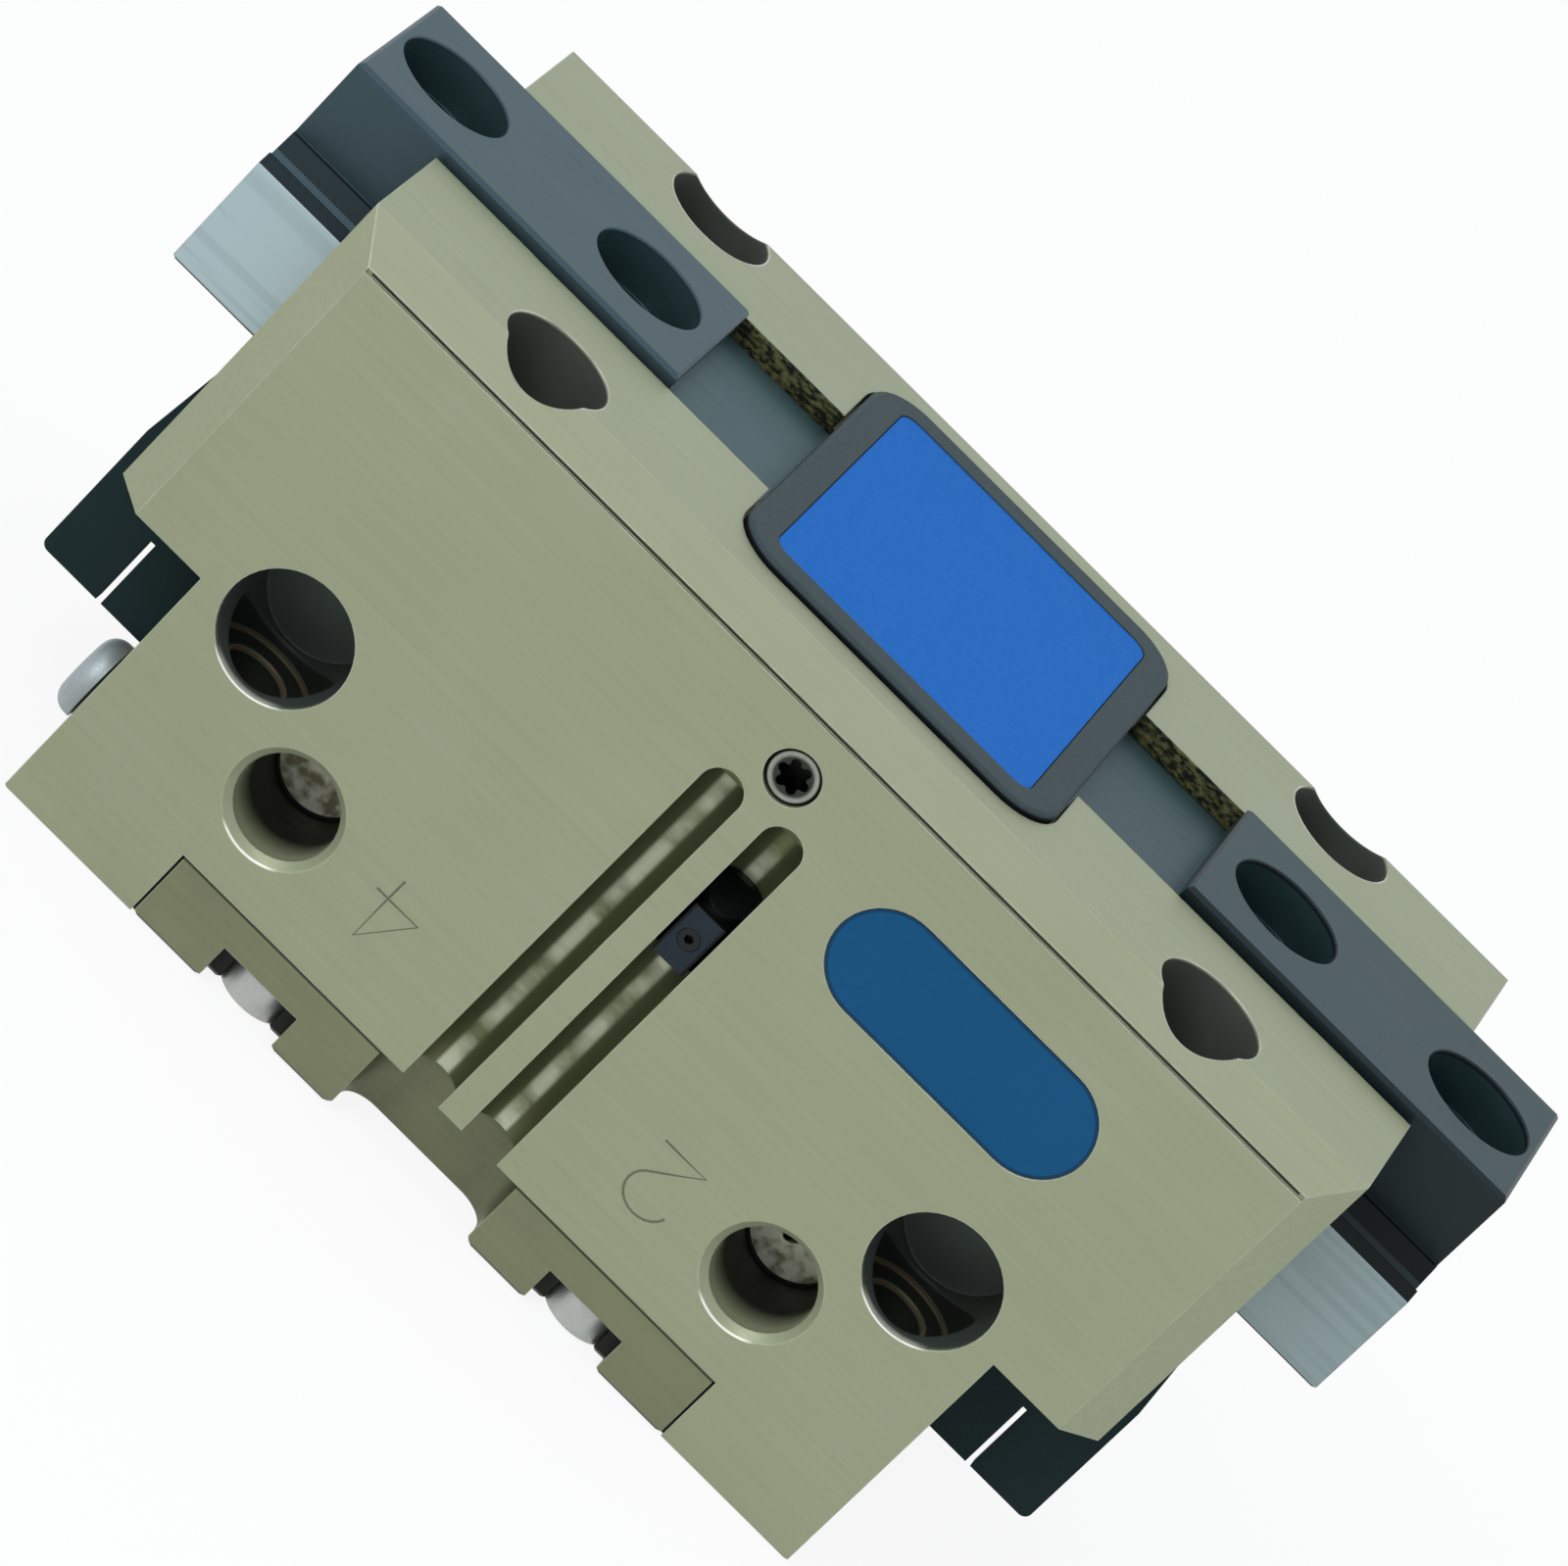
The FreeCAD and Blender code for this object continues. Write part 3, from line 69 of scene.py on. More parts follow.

# Openness to the surroundings at which the painted recess shade is darkest.
RECESS_SHADE_FULL = 0.05

# Strength of the bump from the fine grain and from the lines.
GRAIN_BUMP, LINE_BUMP = 0.6, 0.7

# Rays per shading point for rounded edges, for the painted highlight on them and for the painted recess shade.
EDGE_RAYS, EDGE_HIGHLIGHT_RAYS, RECESS_SHADE_RAYS = 4, 6, 8


class Axis(Enum):
    """Direction in which a surface was brushed, ground or turned, or in which a hole runs."""

    X = (1.0, 0.0, 0.0)
    Y = (0.0, 1.0, 0.0)
    Z = (0.0, 0.0, 1.0)


class Detail(Enum):
    """Number of finer layers in a noise."""

    SOFT = 2.0
    MEDIUM = 3.0
    FINE = 4.0


def linear(code: str) -> Colour:
    """Turn an sRGB hex colour into linear light.

    Args:
        code: Colour written as "#RRGGBB".

    Returns:
        Linear red, green and blue, and an alpha of one.
    """
    channels = []
    for start in (1, 3, 5):
        value = int(code[start:start + 2], 16) / 255.0
        channels.append(value / 12.92 if value <= 0.04045 else ((value + 0.055) / 1.055) ** 2.4)
    return (channels[0], channels[1], channels[2], 1.0)


def put(tree: Tree, kind: str, inputs: dict[Any, Any] | None = None, **settings: Any) -> bpy.types.Node:
    """Add one node to a tree, with its settings, values and links.

    Args:
        tree: Node tree that gets the node.
        kind: Node type name, such as "ShaderNodeMath".
        inputs: Value or output socket for each input, by the input's name or number.
        settings: Properties of the node itself, such as operation="ADD".

    Returns:
        The new node.
    """
    node = tree.nodes.new(kind)
    for name, value in settings.items():
        setattr(node, name, value)
    for name, value in (inputs or {}).items():
        socket = node.inputs[name]
        if isinstance(value, bpy.types.NodeSocket):
            tree.links.new(value, socket)
        else:
            socket.default_value = value
    return node


def bare_tree(owner: bpy.types.Material | bpy.types.World) -> Tree:
    """Turn on the nodes of a material or world and take out those that come with it.

    Args:
        owner: Material or world that gets nodes of its own.

    Returns:
        Its empty node tree.
    """
    owner.use_nodes = True
    owner.node_tree.nodes.clear()
    return owner.node_tree


def noise(tree: Tree, size: Triple, detail: Detail) -> Socket:
    """Noise whose features have real sizes.

    Args:
        tree: Node tree that gets the nodes.
        size: Size of a feature along X, Y and Z in millimetres.
        detail: How many finer layers it has.

    Returns:
        Factor socket from zero to one.
    """
    where = put(tree, "ShaderNodeTexCoord").outputs["Object"]
    scale = tuple(1.0 / (length * MM) for length in size)
    vector = put(tree, "ShaderNodeMapping", {"Vector": where, "Scale": scale}).outputs["Vector"]
    grain = put(tree, "ShaderNodeTexNoise", {"Vector": vector, "Scale": 1.0, "Detail": detail.value})
    return grain.outputs["Fac"]


def places(tree: Tree) -> list[Socket]:
    """Place of each shading point on the gripper, from which the zones are measured.

    Args:
        tree: Node tree that gets the nodes.

    Returns:
        Distance from the middle along X and along Y, height, and place along Y, all in millimetres.
    """
    where = put(tree, "ShaderNodeTexCoord").outputs["Object"]
    grown = put(tree, "ShaderNodeVectorMath", {0: where, "Scale": 1.0 / MM}, operation="SCALE")
    parts = put(tree, "ShaderNodeSeparateXYZ", {"Vector": grown.outputs["Vector"]}).outputs
    sides = [put(tree, "ShaderNodeMath", {0: parts[name]}, operation="ABSOLUTE").outputs[0]
             for name in ("X", "Y")]
    return sides + [parts["Z"], parts["Y"]]


@dataclass(frozen=True)
class Streaks:
    """Fine parallel lines that a belt, wheel or cutter leaves.

    Real lines are finer: they are drawn as coarse as they need to be to show.

    Attributes:
        axis: Direction of the lines.
        length: Typical length of a line in millimetres.
        width: Typical width of a line in millimetres.
        depth: Height of the lines in millimetres.
    """

    axis: Axis
    length: float
    width: float
    depth: float


@dataclass(frozen=True)
class Zone:
    """Part of a surface with a colour of its own, or with painted light or shade.

    It is mirrored left to right and, unless it is on the front alone, front to back.

    Attributes:
        paint: Colour of the zone, sRGB hex.
        speck: Colour scattered over it, sRGB hex, or None.
        grain: Size of the specks along X, Y and Z in millimetres.
        blur: How softly the specks end, from zero.
        share: Strength of the zone's colour at its fullest.
        x: Least and greatest distance from the middle along X in millimetres, or None.
        y: Least and greatest distance from the middle along Y in millimetres, or None.
        z: Least and greatest height in millimetres, or None.
        ring: Least and greatest distance from the axis in millimetres, or None.
        axis: Direction of that axis.
        centre: Distances at which the axis stands, along the two other directions in millimetres.
        fade: Width in millimetres of the soft edge of the X, Y and Z limits.
        rim: Width in millimetres of the soft edge of the ring.
        front: Whether the zone is on the front alone.
    """

    paint: str
    speck: str | None = None
    grain: Triple = (1.0, 1.0, 1.0)
    blur: float = 0.04
    share: float = 1.0
    x: Span | None = None
    y: Span | None = None
    z: Span | None = None
    ring: Span | None = None
    axis: Axis = Axis.Y
    centre: Span = (0.0, 0.0)
    fade: float = 0.05
    rim: float = 0.08
    front: bool = False

    def radius(self, tree: Tree, at: list[Socket]) -> Socket:
        """Distance from the axis.

        Args:
            tree: Node tree that gets the nodes.
            at: Sockets that places() gave.

        Returns:
            Distance socket, in millimetres.
        """
        across = [value for value, along in zip(at, self.axis.value) if not along]
        offsets = [put(tree, "ShaderNodeMath", {0: value, 1: middle}, operation="SUBTRACT").outputs[0]
                   for value, middle in zip(across, self.centre)]
        flat = put(tree, "ShaderNodeCombineXYZ", {"X": offsets[0], "Y": offsets[1]}).outputs[0]
        return put(tree, "ShaderNodeVectorMath", {0: flat}, operation="LENGTH").outputs["Value"]

    def mask(self, tree: Tree, at: list[Socket]) -> Socket:
        """Where the zone lies.

        Args:
            tree: Node tree that gets the nodes.
            at: Sockets that places() gave.

        Returns:
            Factor socket from zero to the zone's share.
        """
        bounds = [(value, span, self.fade) for value, span in zip(at, (self.x, self.y, self.z)) if span]
        if self.ring:
            bounds.append((self.radius(tree, at), self.ring, self.rim))
        share = put(tree, "ShaderNodeValue").outputs[0]
        share.default_value = self.share
        for value, (low, high), soft in bounds:
            for start, end in ((low - soft, low), (high + soft, high)):
                inside = put(tree, "ShaderNodeMapRange", {"Value": value, "From Min": start, "From Max": end})
                share = put(tree, "ShaderNodeMath", {0: share, 1: inside.outputs["Result"]},
                            operation="MULTIPLY").outputs[0]
        if self.front:
            ahead = put(tree, "ShaderNodeMath", {0: at[-1], 1: 0.0}, operation="LESS_THAN").outputs[0]
            share = put(tree, "ShaderNodeMath", {0: share, 1: ahead}, operation="MULTIPLY").outputs[0]
        return share

    def tint(self, tree: Tree) -> Socket | Colour:
        """Colour inside the zone.

        Args:
            tree: Node tree that gets the nodes.

        Returns:
            Colour socket, or the plain colour of a zone without specks.
        """
        if self.speck is None:
            return linear(self.paint)
        specks = noise(tree, self.grain, Detail.MEDIUM)
        caught = put(tree, "ShaderNodeMapRange", {
            "Value": specks, "From Min": SPECK_LEVEL - self.blur, "From Max": SPECK_LEVEL + self.blur})
        return put(tree, "ShaderNodeMix", {
            "Factor": caught.outputs["Result"], MIX_A: linear(self.paint), MIX_B: linear(self.speck)},
            data_type="RGBA").outputs[MIX_RESULT]


@dataclass(frozen=True)
class Finish:
    """A real material, how its surface was made, and the light and shade painted on it.

    Attributes:
        name: Plain name of the material and its making.
        base: Main colour, sRGB hex.
        shade: Colour of the darker patches and lines, sRGB hex.
        metallic: Metallic value of the shader.
        roughness: Mean roughness.
        roughness_swing: How far the roughness moves either way.
        mottle: Size in millimetres of the broad colour patches.
        mottle_share: Share of the shade colour in those patches.
        grit: Size in millimetres of the surface grain, drawn as coarse as it needs to be to show.
        grit_depth: Height in millimetres of the surface grain.
        streaks: Lines left by the making, or None.
        edge: Radius in millimetres of the softened edges.
        shine: Specular level of the shader.
        soil: Share of painted shade in holes, slots and inner corners.
        recess_shade_reach: Distance in millimetres over which a surface counts as enclosed.
        recess_shade_open: How open to its surroundings a surface must be to stay unshaded, zero to one.
        recess_shade_hex: Colour of that painted shade, sRGB hex.
        edge_highlight: Share of painted highlight along the edges.
        edge_highlight_hex: Colour of that painted highlight, sRGB hex.
        zones: Parts with a colour of their own or with painted light or shade, each painted over the ones
            before.
    """

    name: str
    base: str
    shade: str
    metallic: float = 0.0
    roughness: float = 0.5
    roughness_swing: float = 0.06
    mottle: float = 12.0
    mottle_share: float = 0.4
    grit: float = 0.2
    grit_depth: float = 0.004
    streaks: Streaks | None = None
    edge: float = 0.15
    shine: float = 0.5
    soil: float = 0.0
    recess_shade_reach: float = 12.0
    recess_shade_open: float = 0.5
    recess_shade_hex: str = "#15180F"
    edge_highlight: float = 0.0
    edge_highlight_hex: str = "#C9CDB8"
    zones: tuple[Zone, ...] = ()

    def lines(self, tree: Tree) -> Socket:
        """Noise drawn out along the streaks, or plain grain where there are none.

        Args:
            tree: Node tree that gets the nodes.

        Returns:
            Factor socket from zero to one.
        """
        if self.streaks is None:
            return noise(tree, (self.grit,) * 3, Detail.MEDIUM)
        long, short = self.streaks.length, self.streaks.width
        return noise(tree, tuple(long if along else short for along in self.streaks.axis.value), Detail.FINE)

    def colour(self, tree: Tree) -> Socket:
        """Base colour with broad patches and fine lines.

        Args:
            tree: Node tree that gets the nodes.

        Returns:
            Colour socket.
        """
        patches = noise(tree, (self.mottle,) * 3, Detail.SOFT)
        both = put(tree, "ShaderNodeMath", {0: patches, 1: self.lines(tree)}, operation="ADD").outputs[0]
        share = put(tree, "ShaderNodeMapRange", {
            "Value": both, "From Min": SUM_LOW, "From Max": SUM_HIGH, "To Max": self.mottle_share})
        return put(tree, "ShaderNodeMix", {
            "Factor": share.outputs["Result"], MIX_A: linear(self.base), MIX_B: linear(self.shade)},
            data_type="RGBA").outputs[MIX_RESULT]

    def edge_highlighted(self, tree: Tree, skin: Socket) -> Socket:
        """Colour with a painted highlight along the edges, in patches.

        Args:
            tree: Node tree that gets the nodes.
            skin: Colour of the surface away from its edges.

        Returns:
            Colour socket, the given colour itself where the edges get no painted highlight.
        """
        if self.edge_highlight == 0.0:
            return skin
        rounded = put(tree, "ShaderNodeBevel", {"Radius": self.edge * MM}, samples=EDGE_HIGHLIGHT_RAYS)
        flat = put(tree, "ShaderNodeNewGeometry")
        match = put(tree, "ShaderNodeVectorMath", {0: rounded.outputs["Normal"], 1: flat.outputs["Normal"]},
                    operation="DOT_PRODUCT")
        patches = noise(tree, (EDGE_HIGHLIGHT_PATCH,) * 3, Detail.MEDIUM)
        bend = put(tree, "ShaderNodeMapRange", {
            "Value": match.outputs["Value"], "From Min": BEND_START, "From Max": BEND_FULL})
        strength = put(tree, "ShaderNodeMapRange", {
            "Value": patches, "From Min": EDGE_HIGHLIGHT_LOW, "From Max": EDGE_HIGHLIGHT_HIGH, "To Min": EDGE_HIGHLIGHT_LEAST * self.edge_highlight,
            "To Max": self.edge_highlight})
        share = put(tree, "ShaderNodeMath", {0: bend.outputs["Result"], 1: strength.outputs["Result"]},
                    operation="MULTIPLY").outputs[0]
        return put(tree, "ShaderNodeMix", {"Factor": share, MIX_A: skin, MIX_B: linear(self.edge_highlight_hex)},
                   data_type="RGBA").outputs[MIX_RESULT]

    def soiled(self, tree: Tree, skin: Socket) -> Socket:
        """Colour with painted shade that darkens holes, slots and inner corners by how enclosed they are.

        Args:
            tree: Node tree that gets the nodes.
            skin: Colour of the unshaded surface.

        Returns:
            Colour socket, the given colour itself where the finish gets no painted recess shade.
        """
        if self.soil == 0.0:
            return skin
        openness = put(tree, "ShaderNodeAmbientOcclusion", {"Distance": self.recess_shade_reach * MM},
                       samples=RECESS_SHADE_RAYS, only_local=False).outputs["AO"]
        share = put(tree, "ShaderNodeMapRange", {
            "Value": openness, "From Min": RECESS_SHADE_FULL, "From Max": self.recess_shade_open, "To Min": self.soil,
            "To Max": 0.0}).outputs["Result"]
        return put(tree, "ShaderNodeMix", {"Factor": share, MIX_A: skin, MIX_B: linear(self.recess_shade_hex)},
                   data_type="RGBA").outputs[MIX_RESULT]

    def zoned(self, tree: Tree, skin: Socket) -> Socket:
        """Colour with the zones painted over it in turn.

        Args:
            tree: Node tree that gets the nodes.
            skin: Colour of the whole surface.

        Returns:
            Colour socket.
        """
        at = places(tree) if self.zones else []
        for zone in self.zones:
            skin = put(tree, "ShaderNodeMix", {
                "Factor": zone.mask(tree, at), MIX_A: skin, MIX_B: zone.tint(tree)},
                data_type="RGBA").outputs[MIX_RESULT]
        return skin

    def relief(self, tree: Tree) -> Socket:
        """Normal from softened edges, fine grain and lines.

        Args:
            tree: Node tree that gets the nodes.

        Returns:
            Normal socket.
        """
        rounded = put(tree, "ShaderNodeBevel", {"Radius": self.edge * MM}, samples=EDGE_RAYS)
        grain = noise(tree, (self.grit,) * 3, Detail.SOFT)
        normal = put(tree, "ShaderNodeBump", {
            "Height": grain, "Normal": rounded.outputs["Normal"], "Strength": GRAIN_BUMP,
            "Distance": self.grit_depth * MM}).outputs["Normal"]
        if self.streaks is None:
            return normal
        return put(tree, "ShaderNodeBump", {
            "Height": self.lines(tree), "Normal": normal, "Strength": LINE_BUMP,
            "Distance": self.streaks.depth * MM}).outputs["Normal"]

    def gloss(self, tree: Tree) -> Socket:
        """Roughness that follows the lines.

        Args:
            tree: Node tree that gets the nodes.

        Returns:
            Roughness socket.
        """
        return put(tree, "ShaderNodeMapRange", {
            "Value": self.lines(tree), "From Min": NOISE_LOW, "From Max": NOISE_HIGH,
            "To Min": self.roughness - self.roughness_swing,
            "To Max": self.roughness + self.roughness_swing}).outputs["Result"]

    def build(self) -> bpy.types.Material:
        """Make the material.

        Returns:
            The finished material, named for the finish.
        """
        material = bpy.data.materials.new(self.name)
        tree = bare_tree(material)
        skin = self.zoned(tree, self.soiled(tree, self.edge_highlighted(tree, self.colour(tree))))
        shader = put(tree, "ShaderNodeBsdfPrincipled", {
            "Base Color": skin, "Roughness": self.gloss(tree), "Normal": self.relief(tree),
            "Metallic": self.metallic, "Specular IOR Level": self.shine})
        put(tree, "ShaderNodeOutputMaterial", {"Surface": shader.outputs["BSDF"]})
        material.diffuse_color = linear(self.base)
        return material


# Outer sizes of the housing and places on it, in millimetres, X and Y measured from its middle.
HEIGHT = 66.0
FRONT = -33.25
POCKET_AT = (41.3, 25.6)
POCKET_R = 5.9
POCKET_SEAT_Z = HEIGHT - 43.4
CROSS_AT = (41.3, HEIGHT - 35.2)
CROSS_R = 6.7
PORT_AT = (30.6, HEIGHT - 47.5)
PORT_R = 5.2
PORT_FLOOR_Y = 20.0
PORT_WALL = (PORT_R - 0.3, PORT_R + 0.1)
BEVEL_FOOT = (32.0, HEIGHT - 3.3)
SLOT_FLOOR_Y = 25.0
HOLE_MOUTH_Y = 32.4
SLOT_TOP_Z = HEIGHT - 13.0
PURGE_AT = (0.0, HEIGHT - 9.5)
STOP_TOP_Z = HEIGHT - 25.15

# A height under the base and a distance past the object, for zones that are open on that side.
BELOW, BEYOND = -1.0, 99.0


@dataclass(frozen=True)
class OvalFilm(Finish):
    """Printed film with half-round ends and a thin dark border.

    Attributes:
        centre: Middle of the label, X and Z in millimetres.
        half: Half the straight length in millimetres.
        radius: Radius of the ends in millimetres.
        border: Width of the dark border in millimetres.
        border_hex: Colour of the border, sRGB hex.
    """

    centre: Span = (27.65, HEIGHT - 16.4)
    half: float = 9.5
    radius: float = 5.75
    border: float = 0.3
    border_hex: str = "#123C5C"

    def colour(self, tree: Tree) -> Socket:
        """Film colour with the border drawn by distance from the label's rim.

        Args:
            tree: Node tree that gets the nodes.

        Returns:
            Colour socket.
        """
        middle_x, middle_z = self.centre
        where = put(tree, "ShaderNodeTexCoord").outputs["Object"]
        parts = put(tree, "ShaderNodeSeparateXYZ", {"Vector": where}).outputs
        across = put(tree, "ShaderNodeMath", {0: parts["X"], 1: middle_x * MM}, operation="SUBTRACT")
        side = put(tree, "ShaderNodeMath", {0: across.outputs[0]}, operation="ABSOLUTE")
        past = put(tree, "ShaderNodeMath", {0: side.outputs[0], 1: self.half * MM}, operation="SUBTRACT")
        clear = put(tree, "ShaderNodeMath", {0: past.outputs[0], 1: 0.0}, operation="MAXIMUM")
        up = put(tree, "ShaderNodeMath", {0: parts["Z"], 1: middle_z * MM}, operation="SUBTRACT")
        offset = put(tree, "ShaderNodeCombineXYZ", {"X": clear.outputs[0], "Y": up.outputs[0]})
        far = put(tree, "ShaderNodeVectorMath", {0: offset.outputs[0]}, operation="LENGTH").outputs["Value"]
        inner = (self.radius - self.border) * MM
        rim = put(tree, "ShaderNodeMath", {0: far, 1: inner}, operation="GREATER_THAN")
        return put(tree, "ShaderNodeMix", {
            "Factor": rim.outputs[0], MIX_A: super().colour(tree), MIX_B: linear(self.border_hex)},
            data_type="RGBA").outputs[MIX_RESULT]


def pocket_zone(paint: str, z: Span, ring: Span, **more: Any) -> Zone:
    """Zone round the axis of a pocket for a mounting screw."""
    return Zone(paint, z=z, ring=ring, axis=Axis.Z, centre=POCKET_AT, **more)


def port_zone(paint: str, y: Span, ring: Span, **more: Any) -> Zone:
    """Zone round the axis of an air port, on the front alone."""
    return Zone(paint, y=y, ring=ring, centre=PORT_AT, front=True, **more)


def housing_zones() -> tuple[Zone, ...]:
    """Zones of the housing.

    Returns:
        The zones in the order in which they are painted.
    """
    foot_y, foot_z = BEVEL_FOOT
    pocket_wall = (0.0, POCKET_R + 0.01)
    return (
        # The walls of the switch slots are painted in shade, and a strip along their round floors is a painted
        # reflection, with darker blotches in it.
        Zone("#666B4B", x=(0.0, 6.6), y=(SLOT_FLOOR_Y, HOLE_MOUTH_Y), z=(BELOW, SLOT_TOP_Z)),
        Zone("#D2D6BC", "#80855F", (7.0, 7.0, 3.6), blur=0.12, x=(3.15, 4.35), y=(SLOT_FLOOR_Y, 28.9),
             z=(BELOW, SLOT_TOP_Z - 0.3), fade=0.35),
        # The jaw channel is black with oil, with specks of wear dust.
        Zone("#1A1D15", "#77764A", (0.8, 0.35, 0.35), blur=0.12, x=(0.0, 50.0), y=(0.0, 12.5)),
        # A fine groove runs along the foot of the top bevel; its dark line is painted shade.
        Zone("#33352A", x=(0.0, 58.3), y=(foot_y, foot_y + 1.15), z=(foot_z - 0.38, foot_z + 0.02)),
        # Painted shade darkens the screw pockets with depth, and their rims carry a painted highlight.
        pocket_zone("#596058", (22.0, HEIGHT - 0.3), pocket_wall, rim=0.01),
        pocket_zone("#363B37", (22.0, 44.0), pocket_wall, rim=0.01, fade=14.0),
        pocket_zone("#98A08A", (HEIGHT - 0.1, HEIGHT + 1.0), (POCKET_R - 0.1, POCKET_R + 0.1),
                    speck="#EEF2E2", grain=(5.0, 5.0, 5.0), blur=0.15, share=0.7),
        # The cross holes are unlit inside.
        Zone("#57615A", y=(0.0, HOLE_MOUTH_Y), ring=(0.0, CROSS_R + 0.3), centre=CROSS_AT, fade=0.6),
        # In the floor of a screw pocket, the rims of the bolt hole and of the floor itself are lit.
        pocket_zone("#8C8268", (POCKET_SEAT_Z - 0.5, POCKET_SEAT_Z + 0.3), (3.25, 3.55)),
        pocket_zone("#787058", (POCKET_SEAT_Z - 0.5, POCKET_SEAT_Z + 0.5), (POCKET_R - 0.2, POCKET_R + 0.1)),
        # The lower rims of the cross holes and the ports catch the light.
        Zone("#F2F4E6", y=(32.8, 33.3), z=(0.0, CROSS_AT[1] - 6.1), ring=(CROSS_R - 0.02, CROSS_R + 0.14),
             centre=CROSS_AT, fade=0.8),
        port_zone("#F2F4E6", (31.8, 33.3), (PORT_R + 0.76, PORT_R + 0.9), z=(0.0, PORT_AT[1] - 5.5),
                  fade=0.6),
        # The bore of a port is painted lit near its mouth and in painted shade deeper down, and its floor
        # carries a painted highlight, speckled with the cutter's marks.
        port_zone("#B0B594", (PORT_FLOOR_Y, 32.2), PORT_WALL),
        port_zone("#0D0F0A", (PORT_FLOOR_Y, 27.5), PORT_WALL, fade=3.8),
        port_zone("#EFEDD6", (PORT_FLOOR_Y - 1.0, PORT_FLOOR_Y + 0.6), (0.0, 4.8), speck="#8F8D6E",
                  grain=(1.6, 1.6, 1.6), blur=0.1))


def jaw_zones(flank_shade_ridge_highlight: str, tooth_shade: str, bright: str, bright_shade: str) -> tuple[Zone, ...]:
    """Zones of a jaw: painted shade on its narrow chamfers, flanks and teeth, a painted highlight line along
    the teeth, and its ground guide faces.

    Args:
        flank_shade_ridge_highlight: Colour of the sides and chamfers of the head, darker than its top as
            painted shade, and of the painted highlight line along the teeth, sRGB hex.
        tooth_shade: Colour of the teeth between head and guide faces, dark steel in painted shade, sRGB hex.
        bright: Colour of the ground faces, sRGB hex.
        bright_shade: Colour of the grinding lines, sRGB hex.

    Returns:
        The zones in the order in which they are painted.
    """
    # The flanks, chamfers and teeth are painted shade; the flank colour over part of the teeth is a painted
    # highlight line.
    return (Zone(flank_shade_ridge_highlight, y=(11.2, BEYOND)), Zone(flank_shade_ridge_highlight, z=(66.7, 67.17)), Zone(tooth_shade, y=(11.75, BEYOND)),
            Zone(flank_shade_ridge_highlight, y=(13.7, 14.6)), Zone(bright, bright_shade, (40.0, 1.2, 1.1), y=(18.05, BEYOND)))


# Hard-anodised aluminium, brushed along X before anodising: a matt grey-green olive with faint level lines.
HOUSING_ANODISE = Finish(
    "anodised aluminium, brushed", "#999F83", "#8F9474", metallic=0.55, roughness=0.48, roughness_swing=0.04,
    mottle=14.0, grit=0.3, grit_depth=0.006, streaks=Streaks(Axis.X, 22.0, 0.5, 0.002), edge=0.25, soil=0.2,
    recess_shade_open=0.6, edge_highlight=0.75, zones=housing_zones())

# The cover is another aluminium, so the same anodising came out browner. Its seam is dark, and painted shade
# darkens its notches round the screw heads.
COVER_ANODISE = Finish(
    "anodised aluminium, milled brown", "#7C7F62", "#6D7056", metallic=0.55, roughness=0.45,
    roughness_swing=0.04, mottle=9.0, mottle_share=0.45, grit=0.3, grit_depth=0.005,
    streaks=Streaks(Axis.X, 14.0, 0.5, 0.003), edge=0.25, soil=0.9, edge_highlight=0.45,
    zones=(Zone("#3A3B2B", z=(7.75, 8.5)), Zone("#15160F", x=(16.3, 25.7), y=(20.0, 32.8), z=(BELOW, 4.5))))

# Nitrided tool steel: blue-grey satin skin, ground bright on the guide faces. The left jaw takes the lit copy;
# the right jaw takes a copy painted darker all over, with more painted recess shade, as painted shade for light
# that falls from the left.
JAW_STEEL_LIT_SIDE = Finish(
    "nitrided steel, ground guides, wiped", "#415A5C", "#385052", metallic=0.6, roughness=0.4,
    roughness_swing=0.04, mottle=7.0, mottle_share=0.45, grit_depth=0.003,
    streaks=Streaks(Axis.X, 12.0, 0.3, 0.002), edge=0.2, shine=0.2, soil=0.75, recess_shade_hex="#0C161C", edge_highlight=0.25,
    edge_highlight_hex="#93A4AA",
    zones=jaw_zones("#3E4F56", "#242F33", "#ACBEC2", "#A3B5B9"))
# Shaded copy of the jaw steel: every colour and the recess shade are darker, all painted shade.
JAW_STEEL_SHADED_SIDE = replace(
    JAW_STEEL_LIT_SIDE, name="nitrided steel, ground guides, oiled", base="#395153", shade="#31474A", soil=0.95,
    recess_shade_hex="#0A1218", edge_highlight=0.3, zones=jaw_zones("#262F31", "#131818", "#8F9FA0", "#889899"))

# Glass-filled nylon, moulded: dark grey and slightly pebbled, with painted shade low on its side, where it
# meets the rails.
CAP_NYLON = Finish(
    "moulded nylon, dark grey", "#3D494B", "#354042", roughness=0.55, shine=0.1, mottle=5.0, grit=0.35,
    grit_depth=0.012, edge=0.25, zones=(Zone("#0B0F10", z=(0.0, HEIGHT + 0.3), fade=0.2),))

# Printed polyester film, even and softly shining.
CAP_FILM = Finish(
    "polyester film, blue", "#0E65B9", "#0B5FB2", shine=0.06, mottle=16.0, mottle_share=0.3, grit=0.5,
    grit_depth=0.002, edge=0.05)
TYPE_FILM = OvalFilm(
    "polyester film, dark blue", "#11507A", "#0E476E", shine=0.1, mottle=14.0, mottle_share=0.3, grit=0.5,
    grit_depth=0.002, edge=0.05)

# Black anodised aluminium, blasted first, so that it stays nearly black and matt.
BRACKET_BLACK = Finish(
    "black anodised aluminium, blasted", "#1B2C2E", "#152325", roughness=0.6, shine=0.1, mottle=6.0,
    mottle_share=0.5, grit_depth=0.008, edge=0.2)

